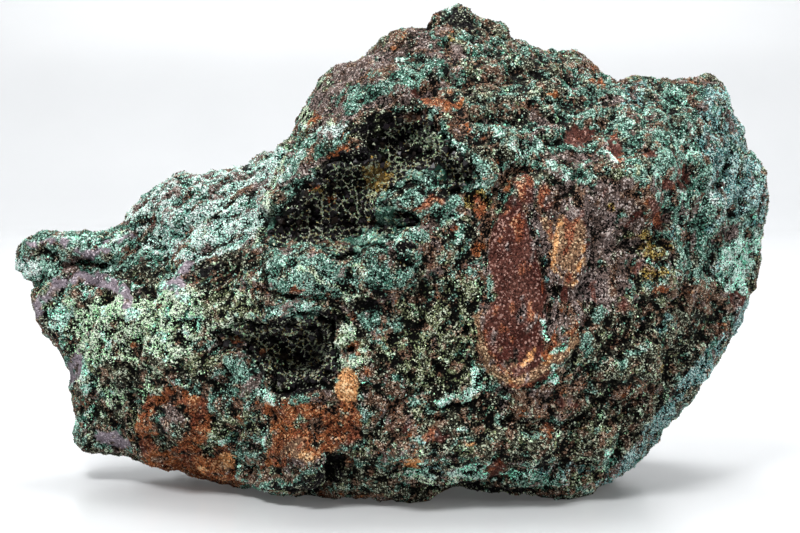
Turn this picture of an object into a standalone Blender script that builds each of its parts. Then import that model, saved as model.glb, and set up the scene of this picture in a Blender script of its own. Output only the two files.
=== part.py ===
"""Malachite and cuprite specimen: one rough lump of copper ore with two crystal-lined hollows.

The lump stands on its lower edge. Its front is the side that faces -Y, +X is to the
right as seen from the front, and +Z is up. The origin is on the ground, under the
middle of the lump.

Places on the front are given on the front sheet: the upright plane through the middle
of the lump, as seen from an eye in front of it. A line from the eye through a point of
the surface meets the sheet at that point's (across, up) place.

All named sizes are in millimetres. Blender's own units are metres.
"""

import math

import bmesh
import bpy
import numpy as np
from mathutils import Vector, noise
from mathutils.bvhtree import BVHTree

MM = 0.001
COLLECTION = "malachite_cuprite_specimen"

# Where the front is seen from: (across, towards the back, up).
EYE = np.array([2.5, -587.0, 99.4])

# The outline of the lump on the front sheet, clockwise from the root of the left lobe.
# Each point is (across, up, depth), where depth is how far behind the sheet the edge lies.
OUTLINE = (
    (-70, 65.3, 4), (-76, 65.4, 4), (-81, 64.3, 4), (-86, 64.3, 4), (-91, 64.6, 5), (-97, 63.9, 5),
    (-98, 61.6, 5), (-99.6, 58.9, 5), (-99.5, 56, 4), (-97.6, 53.8, 4), (-94.7, 50, 3),
    (-95.1, 45, 2), (-91.4, 38.3, 2), (-87.5, 34, 2), (-86.3, 28.4, 1), (-84.7, 21.6, 0),
    (-84.4, 16.1, 0), (-84.3, 11.6, 0), (-83.6, 7.7, -1), (-80.7, 5.9, -2), (-70.7, 7, -3),
    (-68, 4.9, -3), (-63.3, 1.9, -4), (-58, 1, -5), (-53.2, -0.8, -6), (-47, -3.5, -10),
    (-42, -6, -22), (-39.6, -4.3, -26), (-36, -3.2, -28), (-32, -4.6, -29), (-23, -3.9, -31),
    (-20.5, -6.5, -36), (-11.6, -8, -38), (-4, -6.2, -38), (9, -8, -38), (20, -6.3, -37),
    (32, -7.2, -37), (46, -7.2, -34), (56.7, -4.8, -28), (58.5, 0, -24), (63.8, 2.7, -20),
    (68.6, 5.9, -16), (69.2, 10.3, -14), (73.5, 15, -11), (80, 22.3, -7), (81.7, 26.4, -6),
    (84.7, 28.2, -5), (91.3, 39.1, -2), (93.3, 43, -1), (95.7, 50.6, 0), (99.1, 59.5, 1),
    (98.6, 69.4, 2), (100.2, 75.6, 3), (99.8, 80.3, 3), (97.3, 84.4, 3), (92.6, 86.4, 3),
    (93.7, 90.9, 4), (91.7, 94.1, 4), (88.7, 96.9, 5), (89.9, 101.1, 5), (88.7, 103.8, 5),
    (85, 105.6, 6), (78.3, 105.3, 7), (71.8, 104.2, 8), (69.4, 106.6, 8), (66.8, 105.6, 8),
    (59.8, 103.9, 7), (52.2, 108.7, 6), (50.5, 112.1, 6), (42.1, 111.8, 7), (34.3, 115.1, 7),
    (29.8, 118.2, 6), (27.3, 121.9, 5), (21.9, 122.2, 5), (20.1, 125.8, 4), (17.7, 126.4, 4),
    (14.6, 124.3, 4), (9, 119.7, 5), (2.5, 120.3, 5), (-2.1, 117.3, 4), (-6.2, 112.3, 4),
    (-13.3, 111.5, 3), (-17.5, 107, 2), (-20.8, 102.1, 1), (-22.9, 96.4, 0), (-24.4, 91, 0),
    (-28, 86.5, 1), (-35.1, 85.1, 3), (-36.8, 81.7, 3), (-44, 81, 4), (-51.5, 79.4, 5),
    (-56.1, 80.7, 5), (-57.8, 78.5, 5), (-64.6, 75.2, 5), (-67.5, 72.3, 5), (-70.5, 69.4, 5),
)
OUTLINE_CENTRE = (3.8, 50.0)

# The broken faces of the lump: (across, up, depth there, slope across, slope up).
# The nearest of the front faces is hidden behind the others, as where planes cut a block.
FRONT_FACES = (
    (20, 50, -50, 0.05, 0.07),
    (-32, 65, -45, -0.42, 0.26),
    (-45, 35, -45, -0.50, -0.22),
    (0, 88, -45, -0.12, 0.78),
    (60, 88, -43, 0.18, 0.70),
    (74, 60, -43, 0.80, 0.10),
    (62, 24, -46, 0.42, -0.36),
    (80, 30, -41, 1.25, -1.05),
    (10, 3, -48, 0.00, -0.85),
)
BACK_FACES = (
    (8, 45, 50, 0.06, -0.16),
    (-30, 40, 45, 0.40, -0.10),
    (58, 50, 44, -0.62, -0.14),
    (12, 88, 39, 0.05, -0.72),
    (-10, 12, 46, 0.10, 0.55),
    (60, 20, 40, -0.40, 0.50),
)
FACE_BLEND = 1.2
FACE_CLEARANCE = 2.0

# How full the form stays towards its outline, and how round its edge is.
EDGE_POWER = 5.0
EDGE_ROUND = 2.1

# The crystal coat, which the outline includes and the solid leaves out.
COAT = 1.1
# How much of a lump that would stand past the outline is left.
PAST_OUTLINE = 0.25

# Away from its edge the lump follows a calmer outline, turned a little from front to back.
CALM_SPREAD = math.radians(7.0)
CALM_FROM = 0.1
CALM_BY = 0.75
OUTLINE_TWIST = math.radians(14.0)

# What the lump stands on: (x, y, radius) of each spot that reaches the ground.
FEET = ((-37, -12, 7), (4, -33, 8), (44, -27, 8), (2, 8, 9), (34, 31, 8), (-34, 26, 7))
BASE_LIFT = 3.0
BASE_WAVE = 3.0
BASE_WAVE_SIZE = 17.0
BASE_KEPT = 0.05
FOOT_PRESS = 1.6

# Raised and sunken shapes of the front, on the front sheet.
# A mound is (across, up, half width, half height, tilt in degrees, rise).
MOUNDS = (
    (-22, 54, 13, 6, 8, 4.2),
    (-2, 57, 8, 9, 0, 2.2),
    (-58, 14, 9.5, 9, 0, 3.4),
    (-25, 8, 10, 7, -10, 3.0),
    (-79, 11, 5, 4, 0, 2.5),
    (84, 97, 8, 8, 0, 4.0),
    (90, 73, 9, 13, 0, 3.0),
    (92, 52, 6, 9, 10, 2.0),
    (69, 101, 5, 5, 0, 2.6),
    (50, 107, 9, 5, -20, 2.6),
    (17, 119, 6, 6, 0, 3.4),
    (-5, 106, 11, 6, 30, 2.4),
    (-55, 73, 10, 6, 12, 2.6),
    (-48, 62, 12, 5, 20, -2.4),
    (-66, 36, 14, 12, 0, 2.2),
    (-12, 12, 6, 5, 0, -3.0),
    (20, 10, 20, 5, 4, 2.0),
    (63, 63, 14, 12, 0, -1.8),
    (50, 95, 16, 7, -10, -1.6),
    (60, 35, 12, 8, 30, 1.8),
    (-9, 26, 5, 6, 0, 2.2),
    (-10.5, 34, 6, 5.5, 0, 2.6),
    (-10.8, 34, 2.6, 2.6, 0, -4.0),
)
# A ridge is (rise, half width, its line).
RIDGES = (
    (3.0, 2.2, ((-26.5, 90), (-29.2, 83), (-31, 77), (-32.6, 74.5), (-32, 70.5), (-33.5, 66.5), (-35, 63))),
    (2.4, 2.2, ((-94.6, 62.5), (-87.4, 63.2), (-83.5, 61.2), (-77.7, 59.9), (-73, 62.3), (-68.9, 64.6))),
    (-3.2, 3.0, ((-90, 59.5), (-84, 57.5), (-78, 56.0), (-70, 57.5), (-62, 60))),
    (2.6, 2.0, ((-94, 43.7), (-91.3, 48.2), (-87.3, 51.6), (-82.5, 53), (-77, 51.5), (-71.2, 49), (-70, 45))),
    (2.0, 2.0, ((-53.6, 57), (-55.8, 52.2), (-57.7, 49.5))),
    (2.2, 2.3, ((11, 98), (14.4, 89.7), (18.3, 85.8), (24.9, 83.1), (27, 80.2), (24, 77.6), (18, 73.9))),
    (2.4, 2.4, ((-35, 49), (-27, 44.9), (-18, 46.6), (-12, 48))),
    (-1.8, 1.5, ((39.5, 67), (41, 60.7), (42, 54), (42.5, 47.4), (41.6, 40.7), (39.2, 32.5))),
    (2.0, 2.0, ((94, 47.5), (90, 39.5), (84.3, 30.8), (77.5, 23.6), (70.9, 14.5), (62.2, 10), (55, 8))),
    (3.0, 2.2, ((-41, -1.5), (-36.2, -1.8), (-25.5, 0.2), (-20.6, 3), (-18.8, 7.5), (-13.5, 8.5))),
    (-4.5, 2.6, ((-34, -3.6), (-24, -3.6), (-17.0, 0.5), (-15.5, 4.0), (-12.6, 3.5))),
    (-3.0, 1.8, ((1, -3.4), (15.3, -2.7), (22.8, -4), (34.5, -3.6), (45.2, -4.4))),
    (-2.0, 1.8, ((-40, 17), (-42, 8), (-36, 3))),
    (1.4, 1.6, ((12, 19.9), (18, 21.8), (23.8, 23.9))),
    (-2.0, 2.5, ((-66, 49), (-58, 45), (-50, 41), (-47, 36))),
    (-2.2, 2.4, ((60, 104), (58, 97), (54, 90), (53, 84))),
    (-1.8, 2.2, ((75, 98), (73, 88), (76, 78), (72, 70), (64, 62.5))),
    (2.2, 2.6, ((-6, 112), (-2, 104), (6, 100), (12, 97))),
)
# A step is (rise, width of its slope, its line): the side to the right of the line, as it
# is walked, stands out by the rise near the line.
STEPS = (
    (3.0, 1.2, ((-35, 60), (-33.5, 66.5), (-32, 72), (-31, 78), (-28, 86), (-25.5, 93))),
    (2.6, 1.2, ((-96, 47), (-88, 51.5), (-82, 53.0), (-74, 50.5), (-66, 51), (-58, 50))),
    (2.4, 1.4, ((30, 76), (45, 84), (62, 83), (76, 86))),
    (2.4, 1.4, ((20, 14), (36, 12), (52, 14), (66, 22))),
)
STEP_REACH = 16.0

# How these shapes waver, and how squarely a mound ends.
WAVER_SIZE = 7.0
WAVER = 1.2
MOUND_POWER = 1.5

# The smooth plate of cuprite, its lower leaf, and how far each stands out.
PLATE = (
    (35.5, 79.7), (31.8, 74.7), (27.6, 68.3), (25.8, 63.8), (27.1, 58), (26.3, 52.2),
    (26.9, 48.4), (22.9, 45.2), (22.9, 40.7), (24.3, 35.9), (24.3, 30.3), (26.9, 27.4),
    (31.5, 25), (36.2, 27.1), (41.6, 28.2), (45.5, 30.6), (47.4, 34.9), (49.2, 38.3),
    (50.8, 44.2), (51, 50), (52.8, 59.9), (49.6, 66.8), (47.7, 70.7), (42.9, 75), (39.2, 79.2),
)
PLATE_RISE = 2.6
LOWER_LEAF = (
    (31.2, 25), (41.6, 27.9), (49, 26.6), (49.8, 22), (45.1, 17.2), (38.4, 16.7),
    (33.9, 16.7), (32.3, 20.7),
)
LOWER_LEAF_RISE = 1.5
PLATE_EDGE = 0.9
PLATE_CALM = 0.85
PLATE_CALM_EDGE = (-1.0, 1.5)

# The two hollows. Each outline is on the front sheet.
UPPER_HOLLOW = (
    (-34, 67), (-32, 71), (-24, 72.5), (-22.5, 77.5), (-17, 81.5), (-15, 85.5), (-7, 85.5),
    (-4.5, 92), (1, 96), (7.8, 97.5), (12, 94.5), (16, 87), (21.5, 83), (24, 79.7), (19, 75.5),
    (14, 77.5), (11, 81.5), (6, 78), (0, 75.5), (-3, 73), (6, 71), (8.6, 67.5), (2, 64.5),
    (-5, 60.5), (-14.4, 58.5), (-19, 61.5), (-25.6, 60.5), (-32.4, 61.5),
)
LOWER_HOLLOW = (
    (-46.5, 38), (-41.5, 41.5), (-35, 43.5), (-27.5, 42.5), (-18, 44.8), (-13, 45.5),
    (-14.2, 39), (-14, 31.5), (-17, 26.5), (-22, 25), (-27, 21.8), (-31.5, 21.5),
    (-31, 26.5), (-37.5, 31), (-39.5, 34.8), (-45.3, 35),
)
# (node name, outline, depth, width of the walls, seed of its crystals).
HOLLOWS = (
    ("upper_hollow_crust", UPPER_HOLLOW, 13.0, 6.0, 11),
    ("lower_hollow_crust", LOWER_HOLLOW, 16.0, 6.5, 23),
)
# The unevenness of a hollow's floor: (size, share of its depth, seed of its noise).
FLOOR_WAVES = ((9.0, 0.35, 31), (4.0, 0.2, 32))
HOLLOW_LIP = 1.5
CRYSTAL_PITCH = 2.4
CRYSTAL_SHIFT = 0.65
CRYSTAL_RISE = (0.9, 2.4)
CRYSTAL_LEAN = 0.5
CRUST_THICKNESS = (1.3, 1.8)
CRUST_GAP = 0.45
CRUST_MARGIN = 1.2
PLUG_MARGIN = -1.3
PLUG_REACH = 8.0

# Lumps and hollows of the sides, the top and the back: (x, y, z, radius, rise).
BODY_MOUNDS = (
    (-60, 30, 58, 18, 4.0),
    (-25, 48, 62, 20, -5.0),
    (20, 50, 30, 22, 5.0),
    (62, 40, 78, 18, -4.5),
    (35, 40, 92, 15, 3.5),
    (-8, 36, 92, 12, -3.5),
    (78, 22, 40, 16, 3.5),
    (-80, 14, 30, 12, -3.0),
    (-40, 44, 22, 14, -3.0),
    (90, -8, 62, 11, -2.5),
    (5, 12, 116, 10, -2.5),
    (50, 14, 110, 12, 2.0),
)

# Roughness of the broken rock, as (size of the facets or lumps, height).
FRACTURES = ((38.0, 5.0), (19.0, 3.2), (8.0, 1.5))
FACET_DRAW = 7.3
FACET_STEP = 0.4
LUMPS = ((14.0, 2.4), (7.0, 1.3))
LUMP_CREST = 2.4
LUMP_FLOOR = 0.5
FRONT_CALM = 0.55
FRONT_FACING = (0.05, 0.5)
OUTLINE_CALM = 0.75
RIM_DEPTH = 9.0
RIM_BAND = (0.88, 0.98)

FORM_DIVISIONS = 7
COARSE_VOXEL = 1.5
FINE_VOXEL = 1.1
STONE_TRIANGLES = 6700
GROUND_BLOCK = 400.0


def clear_scene():
    for obj in list(bpy.data.objects):
        bpy.data.objects.remove(obj, do_unlink=True)


def new_collection(name):
    collection = bpy.data.collections.new(name)
    bpy.context.scene.collection.children.link(collection)
    return collection


def principled(name, colour, roughness, metallic=0.0):
    material = bpy.data.materials.new(name)
    material.use_nodes = True
    shader = material.node_tree.nodes["Principled BSDF"]
    shader.inputs["Base Color"].default_value = (*colour, 1.0)
    shader.inputs["Roughness"].default_value = roughness
    shader.inputs["Metallic"].default_value = metallic
    return material


def object_from_points(name, points, faces, collection):
    mesh = bpy.data.meshes.new(name)
    mesh.from_pydata((points * MM).tolist(), [], faces)
    mesh.update()
    obj = bpy.data.objects.new(name, mesh)
    collection.objects.link(obj)
    return obj


def points_of(mesh):
    """The vertices of a mesh, in millimetres."""
    flat = np.empty(len(mesh.vertices) * 3)
    mesh.vertices.foreach_get("co", flat)
    return flat.reshape(-1, 3) / MM


def normals_of(mesh):
    """The outward direction of the surface at each vertex."""
    flat = np.empty(len(mesh.vertices) * 3)
    mesh.vertices.foreach_get("normal", flat)
    return flat.reshape(-1, 3)


def move_points(mesh, points):
    """Puts the vertices of a mesh at new places, in millimetres."""
    mesh.vertices.foreach_set("co", (points * MM).ravel())
    mesh.update()


def keep_result(obj):
    """Puts the result of the object's modifiers in place of its mesh."""
    bpy.context.view_layer.update()
    graph = bpy.context.evaluated_depsgraph_get()
    made = bpy.data.meshes.new_from_object(obj.evaluated_get(graph))
    obj.modifiers.clear()
    obj.data = made


def remesh(obj, voxel):
    """Gives the surface evenly sized faces, one voxel across."""
    modifier = obj.modifiers.new("Even faces", "REMESH")
    modifier.mode = "VOXEL"
    modifier.voxel_size = voxel * MM
    keep_result(obj)


def smoothstep(low, high, value):
    t = np.clip((value - low) / (high - low), 0.0, 1.0)
    return t * t * (3.0 - 2.0 * t)


def on_sheet(points):
    """The (across, up) places on the front sheet of points of the lump."""
    share = -EYE[1] / (points[:, 1] - EYE[1])
    return EYE[[0, 2]] + (points[:, [0, 2]] - EYE[[0, 2]]) * share[:, None]


def from_sheet(places, depth):
    """The points of the lump at places on the front sheet and depths behind it."""
    share = (depth - EYE[1]) / -EYE[1]
    flat = EYE[[0, 2]] + (places - EYE[[0, 2]]) * share[:, None]
    return np.stack([flat[:, 0], depth, flat[:, 1]], axis=1)


def broken_faces(faces, places):
    """The depth of a side cut by broken faces, blended a little where they meet."""
    across, up = places.T
    total = np.zeros(len(places))
    for x, z, depth, slope_x, slope_z in faces:
        plane = depth + slope_x * (across - x) + slope_z * (up - z)
        side = -1.0 if depth > 0 else 1.0
        total += np.exp(side * plane / FACE_BLEND)
    return side * FACE_BLEND * np.log(total)


def outline_at(angle):
    """The radius and depth of the outline at angles about its centre."""
    ring = np.array(OUTLINE)
    across = ring[:, 0] - OUTLINE_CENTRE[0]
    up = ring[:, 1] - OUTLINE_CENTRE[1]
    turn = np.arctan2(up, across)
    order = np.argsort(turn)
    radius = np.hypot(across, up)[order]
    period = 2.0 * math.pi
    return (
        np.interp(angle, turn[order], radius, period=period),
        np.interp(angle, turn[order], ring[order, 2], period=period),
    )


def calm_outline_at(angle):
    """The outline's radius without its small notches and horns, never outside the outline."""
    spread = np.linspace(-CALM_SPREAD, CALM_SPREAD, 9)
    within = [
        np.min([outline_at(angle + near + far)[0] for far in spread], axis=0) for near in spread
    ]
    return np.mean(within, axis=0)


def form_points(directions):
    """Turns the directions of a round ball into points of the lump's main form."""
    across, depth_way, up = directions.T
    share = np.clip(np.hypot(across, up), 0.0, 1.0)
    angle = np.arctan2(up, across)
    radius, rim = outline_at(angle)
    radius -= COAT
    calm = np.minimum(calm_outline_at(angle + OUTLINE_TWIST * depth_way) - COAT, radius)
    unit = np.stack([across, up], axis=1) / np.maximum(share, 1e-9)[:, None]
    fullness = (1.0 - share**EDGE_POWER) ** (1.0 / EDGE_ROUND)
    away = smoothstep(CALM_FROM, CALM_BY, fullness)
    reach = (radius + (calm - radius) * away) * share
    places = np.array(OUTLINE_CENTRE) + unit * reach[:, None]
    front = np.minimum(broken_faces(FRONT_FACES, places), rim - FACE_CLEARANCE)
    back = np.maximum(broken_faces(BACK_FACES, places), rim + FACE_CLEARANCE)
    face = np.where(depth_way < 0.0, front, back)
    return from_sheet(places, rim + (face - rim) * fullness)


def noise_at(points, size, seed):
    """Smooth noise from about -1 to 1 at each point."""
    shift = Vector((seed * 17.3, seed * 5.9, seed * 11.7))
    return np.array([noise.noise(Vector(p) / size + shift) for p in points])


def fracture_at(points, size, seed):
    """Flat broken facets: each cell of the noise is a plane with its own tilt."""
    shift = Vector((seed * 3.1, seed * 7.7, seed * 13.9))
    heights = np.empty(len(points))
    for index, point in enumerate(points):
        place = Vector(point) / size + shift
        centre = noise.voronoi(place)[1][0]
        tilt = noise.cell_vector(centre * FACET_DRAW) - Vector((0.5, 0.5, 0.5))
        heights[index] = (place - centre).dot(tilt) + FACET_STEP * tilt.x
    return heights


def set_down(points):
    """Lifts the underside clear of the ground, apart from the spots that it stands on."""
    x, y, z = points.T
    wave = noise_at(np.stack([x, y, 0.0 * x], axis=1), BASE_WAVE_SIZE, 4)
    base = BASE_LIFT + BASE_WAVE * wave
    for foot_x, foot_y, radius in FEET:
        near = np.exp(-(((x - foot_x) ** 2 + (y - foot_y) ** 2) / radius**2) ** 2)
        base = base * (1.0 - near) - FOOT_PRESS * near
    low = z < base
    lifted = points.copy()
    lifted[low, 2] = base[low] + BASE_KEPT * (z[low] - base[low])
    return lifted


def line_distance(places, line):
    """The distance to a line of points, and which side of it a place lies on."""
    nearest = np.full(len(places), np.inf)
    side = np.zeros(len(places))
    for start, end in zip(np.array(line[:-1], float), np.array(line[1:], float)):
        along = end - start
        step = np.clip((places - start) @ along / (along @ along), 0.0, 1.0)
        away = places - start - step[:, None] * along
        distance = np.hypot(*away.T)
        closer = distance < nearest
        nearest = np.where(closer, distance, nearest)
        side = np.where(closer, np.sign(along[1] * away[:, 0] - along[0] * away[:, 1]), side)
    return nearest, side


def inside_distance(places, outline):
    """The distance to a closed outline, positive inside it."""
    ring = (*outline, outline[0])
    nearest, _ = line_distance(places, ring)
    inside = np.zeros(len(places), bool)
    across, up = places.T
    for (x0, z0), (x1, z1) in zip(ring[:-1], ring[1:]):
        if z0 == z1:
            continue
        crosses = (z0 > up) != (z1 > up)
        inside ^= crosses & (across < x0 + (up - z0) * (x1 - x0) / (z1 - z0))
    return np.where(inside, nearest, -nearest)


def front_relief(points):
    """How far the named shapes of the front stand out at each point."""
    places = on_sheet(points)
    waver = [noise_at(points, WAVER_SIZE, seed) for seed in (8, 9)]
    places = places + WAVER * np.stack(waver, axis=1)
    relief = np.zeros(len(points))
    for x, z, half_width, half_height, tilt, rise in MOUNDS:
        turn = math.radians(tilt)
        across = (places[:, 0] - x) * math.cos(turn) + (places[:, 1] - z) * math.sin(turn)
        up = (places[:, 1] - z) * math.cos(turn) - (places[:, 0] - x) * math.sin(turn)
        away = (across / half_width) ** 2 + (up / half_height) ** 2
        relief += rise * np.exp(-(away**MOUND_POWER))
    for rise, half_width, line in RIDGES:
        distance, _ = line_distance(places, line)
        relief += rise * np.exp(-((distance / half_width) ** 2))
    for rise, slope, line in STEPS:
        distance, side = line_distance(places, line)
        signed = distance * side
        fade = np.exp(-((distance / STEP_REACH) ** 2))
        relief += rise * (smoothstep(-slope, slope, signed) - 0.5) * fade
    for outline, rise in ((PLATE, PLATE_RISE), (LOWER_LEAF, LOWER_LEAF_RISE)):
        relief += rise * smoothstep(-PLATE_EDGE, PLATE_EDGE, inside_distance(places, outline))
    return relief


def plate_share(points):
    """1 on the smooth plate and its lower leaf, 0 elsewhere."""
    places = on_sheet(points)
    inside = np.maximum(inside_distance(places, PLATE), inside_distance(places, LOWER_LEAF))
    return smoothstep(*PLATE_CALM_EDGE, inside) * (points[:, 1] < 0.0)


def rim_share(points):
    """1 at the outline of the front, 0 away from it."""
    places = on_sheet(points)
    across, up = (places - np.array(OUTLINE_CENTRE)).T
    radius, rim = outline_at(np.arctan2(up, across))
    near = np.exp(-(((points[:, 1] - rim) / RIM_DEPTH) ** 2))
    return near * smoothstep(*RIM_BAND, np.hypot(across, up) / radius)


def held_inside(points):
    """Pulls back what stands past the outline, as seen from the eye in front."""
    away = on_sheet(points) - np.array(OUTLINE_CENTRE)
    reach = np.hypot(*away.T)
    limit = outline_at(np.arctan2(away[:, 1], away[:, 0]))[0] - COAT
    kept = np.where(reach > limit, limit + PAST_OUTLINE * (reach - limit), reach)
    places = np.array(OUTLINE_CENTRE) + away * (kept / np.maximum(reach, 1e-9))[:, None]
    return from_sheet(places, points[:, 1])


def roughen(obj):
    """Breaks the even form into facets, lumps, ridges, ledges and pits."""
    points = points_of(obj.data)
    normals = normals_of(obj.data)
    facing = smoothstep(*FRONT_FACING, -normals[:, 1])
    height = np.zeros(len(points))
    for seed, (size, rise) in enumerate(FRACTURES):
        height += rise * fracture_at(points, size, seed + 2)
    height *= 1.0 - FRONT_CALM * facing
    for seed, (size, rise) in enumerate(LUMPS):
        height += rise * (LUMP_CREST * np.abs(noise_at(points, size, seed + 20)) - LUMP_FLOOR)
    height *= 1.0 - OUTLINE_CALM * rim_share(points)
    height *= 1.0 - PLATE_CALM * plate_share(points)
    for x, y, z, radius, rise in BODY_MOUNDS:
        away = np.linalg.norm(points - (x, y, z), axis=1) / radius
        height += rise * np.exp(-(away**3))
    moved = points + normals * height[:, None]
    moved[:, 1] -= front_relief(points) * facing
    move_points(obj.data, set_down(held_inside(moved)))


def make_stone(collection):
    """The whole lump, before its hollows are cut."""
    builder = bmesh.new()
    bmesh.ops.create_icosphere(builder, subdivisions=FORM_DIVISIONS, radius=1.0)
    directions = np.array([vert.co[:] for vert in builder.verts])
    faces = [[vert.index for vert in face.verts] for face in builder.faces]
    builder.free()
    stone = object_from_points("stone", set_down(form_points(directions)), faces, collection)
    remesh(stone, COARSE_VOXEL)
    roughen(stone)
    remesh(stone, FINE_VOXEL)
    thin = stone.modifiers.new("Fewer faces", "DECIMATE")
    thin.ratio = STONE_TRIANGLES / (2.0 * len(stone.data.polygons))
    keep_result(stone)
    return stone


def stone_depth(tree, places):
    """The depth of the lump's front at places on the front sheet."""
    depths = np.empty(len(places))
    start = Vector(EYE * MM)
    for index, (across, up) in enumerate(places):
        way = Vector((across, 0.0, up)) * MM - start
        hit = tree.ray_cast(start, way)[0]
        depths[index] = hit.y / MM if hit else 0.0
    return depths


def hollow_grid(outline, margin):
    """A net of square cells inside an outline on the front sheet, in one piece."""
    ring = np.array(outline)
    low, high = ring.min(axis=0), ring.max(axis=0)
    count = np.ceil((high - low) / CRYSTAL_PITCH).astype(int)
    builder = bmesh.new()
    bmesh.ops.create_grid(builder, x_segments=int(count[0]), y_segments=int(count[1]), size=0.5)
    size = count * CRYSTAL_PITCH
    middle = (low + high) / 2.0
    for vert in builder.verts:
        vert.co = (middle[0] + vert.co.x * size[0], 0.0, middle[1] + vert.co.y * size[1])
    chance = np.random.default_rng(len(outline))
    for vert in builder.verts:
        vert.co += Vector((chance.uniform(-1, 1), 0.0, chance.uniform(-1, 1))) * CRYSTAL_SHIFT
    centres = np.array([face.calc_center_median()[:] for face in builder.faces])[:, [0, 2]]
    inside = inside_distance(centres, outline) > margin
    outside_faces = [face for face, kept in zip(list(builder.faces), inside) if not kept]
    bmesh.ops.delete(builder, geom=outside_faces, context="FACES")
    trim_corners(builder)
    return builder


def trim_corners(builder):
    """Removes cells that hang on by a corner, until the net is one clean sheet."""
    while True:
        loose = set()
        for vert in builder.verts:
            rim = [edge for edge in vert.link_edges if edge.is_boundary]
            if len(rim) > 2:
                loose.add(min(vert.link_faces, key=lambda face: face.index))
        if not loose:
            break
        bmesh.ops.delete(builder, geom=list(loose), context="FACES")
        builder.faces.index_update()


def hollow_depth(places, outline, depth, wall):
    """How deep the hollow goes below the front, at places on the front sheet."""
    points = np.stack([places[:, 0], places[:, 1], 0.0 * places[:, 0]], axis=1)
    inside = inside_distance(places, outline)
    uneven = 1.0
    for size, share, seed in FLOOR_WAVES:
        uneven = uneven + share * noise_at(points, size, seed)
    return depth * uneven * smoothstep(-HOLLOW_LIP, wall, inside)


def hollow_cutter(name, tree, outline, depth, wall, collection):
    """A closed plug of the hollow's shape, which reaches out past the front."""
    builder = hollow_grid(outline, PLUG_MARGIN)
    places = np.array([vert.co[:] for vert in builder.verts])[:, [0, 2]]
    front = stone_depth(tree, places)
    floor = front + hollow_depth(places, outline, depth, wall)
    points = from_sheet(places, floor)
    for vert, point in zip(builder.verts, points):
        vert.co = point * MM
    made = bmesh.ops.extrude_face_region(builder, geom=list(builder.faces))
    outer = [item for item in made["geom"] if isinstance(item, bmesh.types.BMVert)]
    for vert in outer:
        vert.co.y = (front.min() - PLUG_REACH) * MM
    return finish_mesh(builder, name, collection)


def finish_mesh(builder, name, collection):
    """Turns a built net of faces into an object of triangles that face outwards."""
    bmesh.ops.recalc_face_normals(builder, faces=list(builder.faces))
    bmesh.ops.triangulate(builder, faces=list(builder.faces), quad_method="SHORT_EDGE")
    mesh = bpy.data.meshes.new(name)
    builder.to_mesh(mesh)
    builder.free()
    obj = bpy.data.objects.new(name, mesh)
    collection.objects.link(obj)
    return obj


def cut(obj, cutter):
    """Cuts the cutter's shape out of the object, for good."""
    cutter.hide_render = True
    cutter.display_type = "WIRE"
    modifier = obj.modifiers.new("Cut " + cutter.name, "BOOLEAN")
    modifier.operation = "DIFFERENCE"
    modifier.object = cutter
    keep_result(obj)


def make_crust(name, tree, outline, depth, wall, seed, collection):
    """The crust of flat-faced crystals that lines a hollow."""
    chance = np.random.default_rng(seed)
    builder = hollow_grid(outline, CRUST_MARGIN)
    places = np.array([vert.co[:] for vert in builder.verts])[:, [0, 2]]
    floor = stone_depth(tree, places) + hollow_depth(places, outline, depth, wall)
    points = from_sheet(places, floor - CRUST_GAP)
    for vert, point in zip(builder.verts, points):
        vert.co = point * MM
    made = bmesh.ops.extrude_face_region(builder, geom=list(builder.faces))
    outer = [item for item in made["geom"] if isinstance(item, bmesh.types.BMVert)]
    for vert in outer:
        vert.co.y -= chance.uniform(*CRUST_THICKNESS) * MM
    faces = [item for item in made["geom"] if isinstance(item, bmesh.types.BMFace)]
    for face in faces:
        rise = chance.uniform(*CRYSTAL_RISE) * MM
        across, up = chance.uniform(-CRYSTAL_LEAN, CRYSTAL_LEAN, 2) * MM
        tip = bmesh.ops.poke(builder, faces=[face])["verts"][0]
        tip.co += Vector((across, -rise, up))
    return finish_mesh(builder, name, collection)


def make_ground_cutter(collection):
    """A block under the ground, which cuts the lump's feet flat."""
    builder = bmesh.new()
    bmesh.ops.create_cube(builder, size=GROUND_BLOCK * MM)
    mesh = bpy.data.meshes.new("below_ground")
    builder.to_mesh(mesh)
    builder.free()
    block = bpy.data.objects.new("below_ground", mesh)
    block.location = (0.0, 0.0, -GROUND_BLOCK / 2.0 * MM)
    collection.objects.link(block)
    return block


def centre_on_origin(objects):
    """Moves the pieces together until the middle of their box is over the origin."""
    points = np.concatenate([points_of(obj.data) for obj in objects])
    shift = (points.min(axis=0) + points.max(axis=0)) / 2.0
    shift[2] = 0.0
    for obj in objects:
        move_points(obj.data, points_of(obj.data) - shift)


def main():
    clear_scene()
    parts = new_collection(COLLECTION)
    cutters = new_collection("cutters")
    ore = principled("copper_ore", (0.16, 0.30, 0.25), 0.75)
    dark_crystal = principled("dark_crystal", (0.02, 0.015, 0.02), 0.35)
    stone = make_stone(parts)
    tree = BVHTree.FromObject(stone, bpy.context.evaluated_depsgraph_get())
    plugs = []
    crusts = []
    for name, outline, depth, wall, seed in HOLLOWS:
        plugs.append(hollow_cutter("plug_" + name, tree, outline, depth, wall, cutters))
        crusts.append(make_crust(name, tree, outline, depth, wall, seed, parts))
        crusts[-1].data.materials.append(dark_crystal)
    for plug in plugs:
        cut(stone, plug)
    cut(stone, make_ground_cutter(cutters))
    stone.data.materials.clear()
    stone.data.materials.append(ore)
    centre_on_origin([stone, *crusts])


main()
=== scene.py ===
"""Dresses the malachite and cuprite specimen and sets it on a pale studio floor.

The model's frame is used throughout: +X to the right of the front, +Y away from it and
+Z up. Sizes and places are in millimetres where nothing else is said, and become metres
where a mesh is made. The patches, veins and fields of the front lie on the front view's
frame, 800 steps across and 533 down, and are measured in its steps.
"""

from __future__ import annotations

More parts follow.
